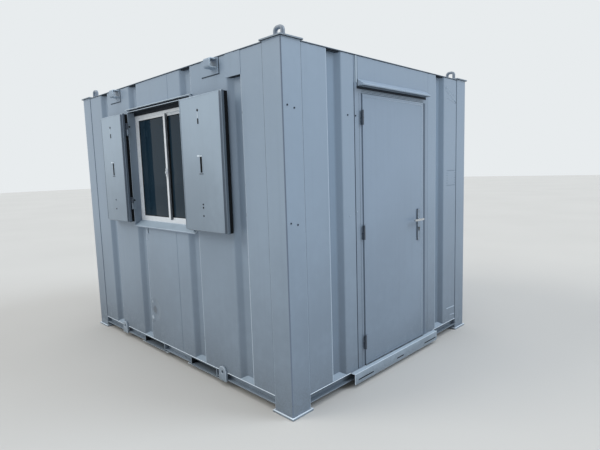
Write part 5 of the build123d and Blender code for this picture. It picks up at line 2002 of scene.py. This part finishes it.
@dataclass
class Studio:
    """Pale floor, soft lights and the camera at the photograph's viewing angle."""

    camera_place: Point = (3.572, -3.170, 1.626)
    heading: float = 44.84
    dip: float = 6.78
    roll: float = -1.76
    lens: float = 27.71
    sensor: float = 36.0
    floor_half: float = 60.0
    floor_colour: Colour = srgb(190, 190, 188)
    background: Colour = srgb(232, 236, 238)
    sky_colour: Colour = (0.93, 0.96, 1.0)
    sky_light: float = 0.52

    def build(self) -> None:
        """Set up the view, the floor, the world and the lamps."""
        scene = bpy.context.scene
        scene.view_settings.view_transform = "Standard"
        self.camera()
        self.floor()
        self.world()
        self.lamp("sun_behind_door_end", (1.0, 0.85, 0.95), 1.4, 32.0, (0.82, 0.91, 1.0))
        self.lamp("sun_beside_window_wall", (-0.8, -1.0, 0.9), 1.2, 32.0, (1.0, 0.96, 0.88))
        self.lamp("sun_overhead", (0.1, -0.1, 1.0), 1.2, 50.0, (1.0, 1.0, 1.0))

    def camera(self) -> None:
        """Aim the camera by its heading, dip and roll."""
        turn, dip, roll = (math.radians(angle) for angle in (self.heading, self.dip, self.roll))
        ahead = Vector((-math.sin(turn) * math.cos(dip), math.cos(turn) * math.cos(dip), -math.sin(dip)))
        right = Vector((math.cos(turn), math.sin(turn), 0.0))
        above = right.cross(ahead)
        level_right = math.cos(roll) * right + math.sin(roll) * above
        level_above = math.cos(roll) * above - math.sin(roll) * right
        turned = Matrix((level_right, level_above, -ahead)).transposed().to_4x4()
        data = bpy.data.cameras.new("photo_camera")
        data.lens = self.lens
        data.sensor_width = self.sensor
        data.sensor_fit = "HORIZONTAL"
        data.clip_end = 200.0
        camera = bpy.data.objects.new("photo_camera", data)
        camera.matrix_world = Matrix.Translation(self.camera_place) @ turned
        bpy.context.scene.collection.objects.link(camera)
        bpy.context.scene.camera = camera

    def floor(self) -> None:
        """Lay a wide pale floor."""
        bpy.ops.mesh.primitive_grid_add(x_subdivisions=4, y_subdivisions=4, size=2 * self.floor_half)
        floor = bpy.context.active_object
        floor.name = "studio_floor"
        mix = Recipe("studio_floor")
        shade = mix.rise(mix.noise(0.35, 3.0), 0.3, 0.7)
        darker = tuple(level * 0.96 for level in self.floor_colour)
        colour = mix.blend(self.floor_colour, darker, shade)
        floor.data.materials.append(mix.finish({"Base Color": colour, "Roughness": 0.9}))

    def world(self) -> None:
        """Light evenly from the sky, and show a pale background to the camera and in reflections."""
        world = bpy.data.worlds.new("studio_world")
        bpy.context.scene.world = world
        world.use_nodes = True
        tree = NodeTree(world.node_tree)
        rays = ("Is Camera Ray", "Is Glossy Ray", "Is Transmission Ray")
        camera, glossy, through = (tree.node("LightPath", {}, {}, ray) for ray in rays)
        seen = camera.math("MAXIMUM", glossy).math("MAXIMUM", through)
        lit = tree.node("Background", {}, {"Color": self.sky_colour, "Strength": self.sky_light})
        shown = tree.node("Background", {}, {"Color": self.background, "Strength": 1.0})
        either = tree.node("MixShader", {}, {0: seen, 1: lit, 2: shown})
        tree.node("OutputWorld", {}, {"Surface": either})

    def lamp(self, name: str, source: Point, strength: float, spread_angle: float, tint: Colour) -> None:
        """Add one sun that shines from a direction, wide in degrees for soft shadows."""
        data = bpy.data.lights.new(name, "SUN")
        data.energy = strength
        data.angle = math.radians(spread_angle)
        data.color = tint
        lamp = bpy.data.objects.new(name, data)
        lamp.matrix_world = toward(source)
        bpy.context.scene.collection.objects.link(lamp)


def main() -> None:
    """Build the cabin in order, then the studio."""
    logging.basicConfig(level=logging.INFO, format="%(message)s")
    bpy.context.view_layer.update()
    shop = PaintShop()
    assemblies = (
        CornerPosts(shop),
        FloorFrame(shop),
        WallSkins(shop),
        Roof(shop),
        Window(shop),
        Shutter(shop, Side.LEFT),
        Shutter(shop, Side.RIGHT),
        JambHinges(shop),
        Door(shop),
        Loops(shop),
        Room(shop),
        Studio(),
    )
    for assembly in assemblies:
        log.info("building %s", type(assembly).__name__)
        assembly.build()


if __name__ == "__main__":
    main()
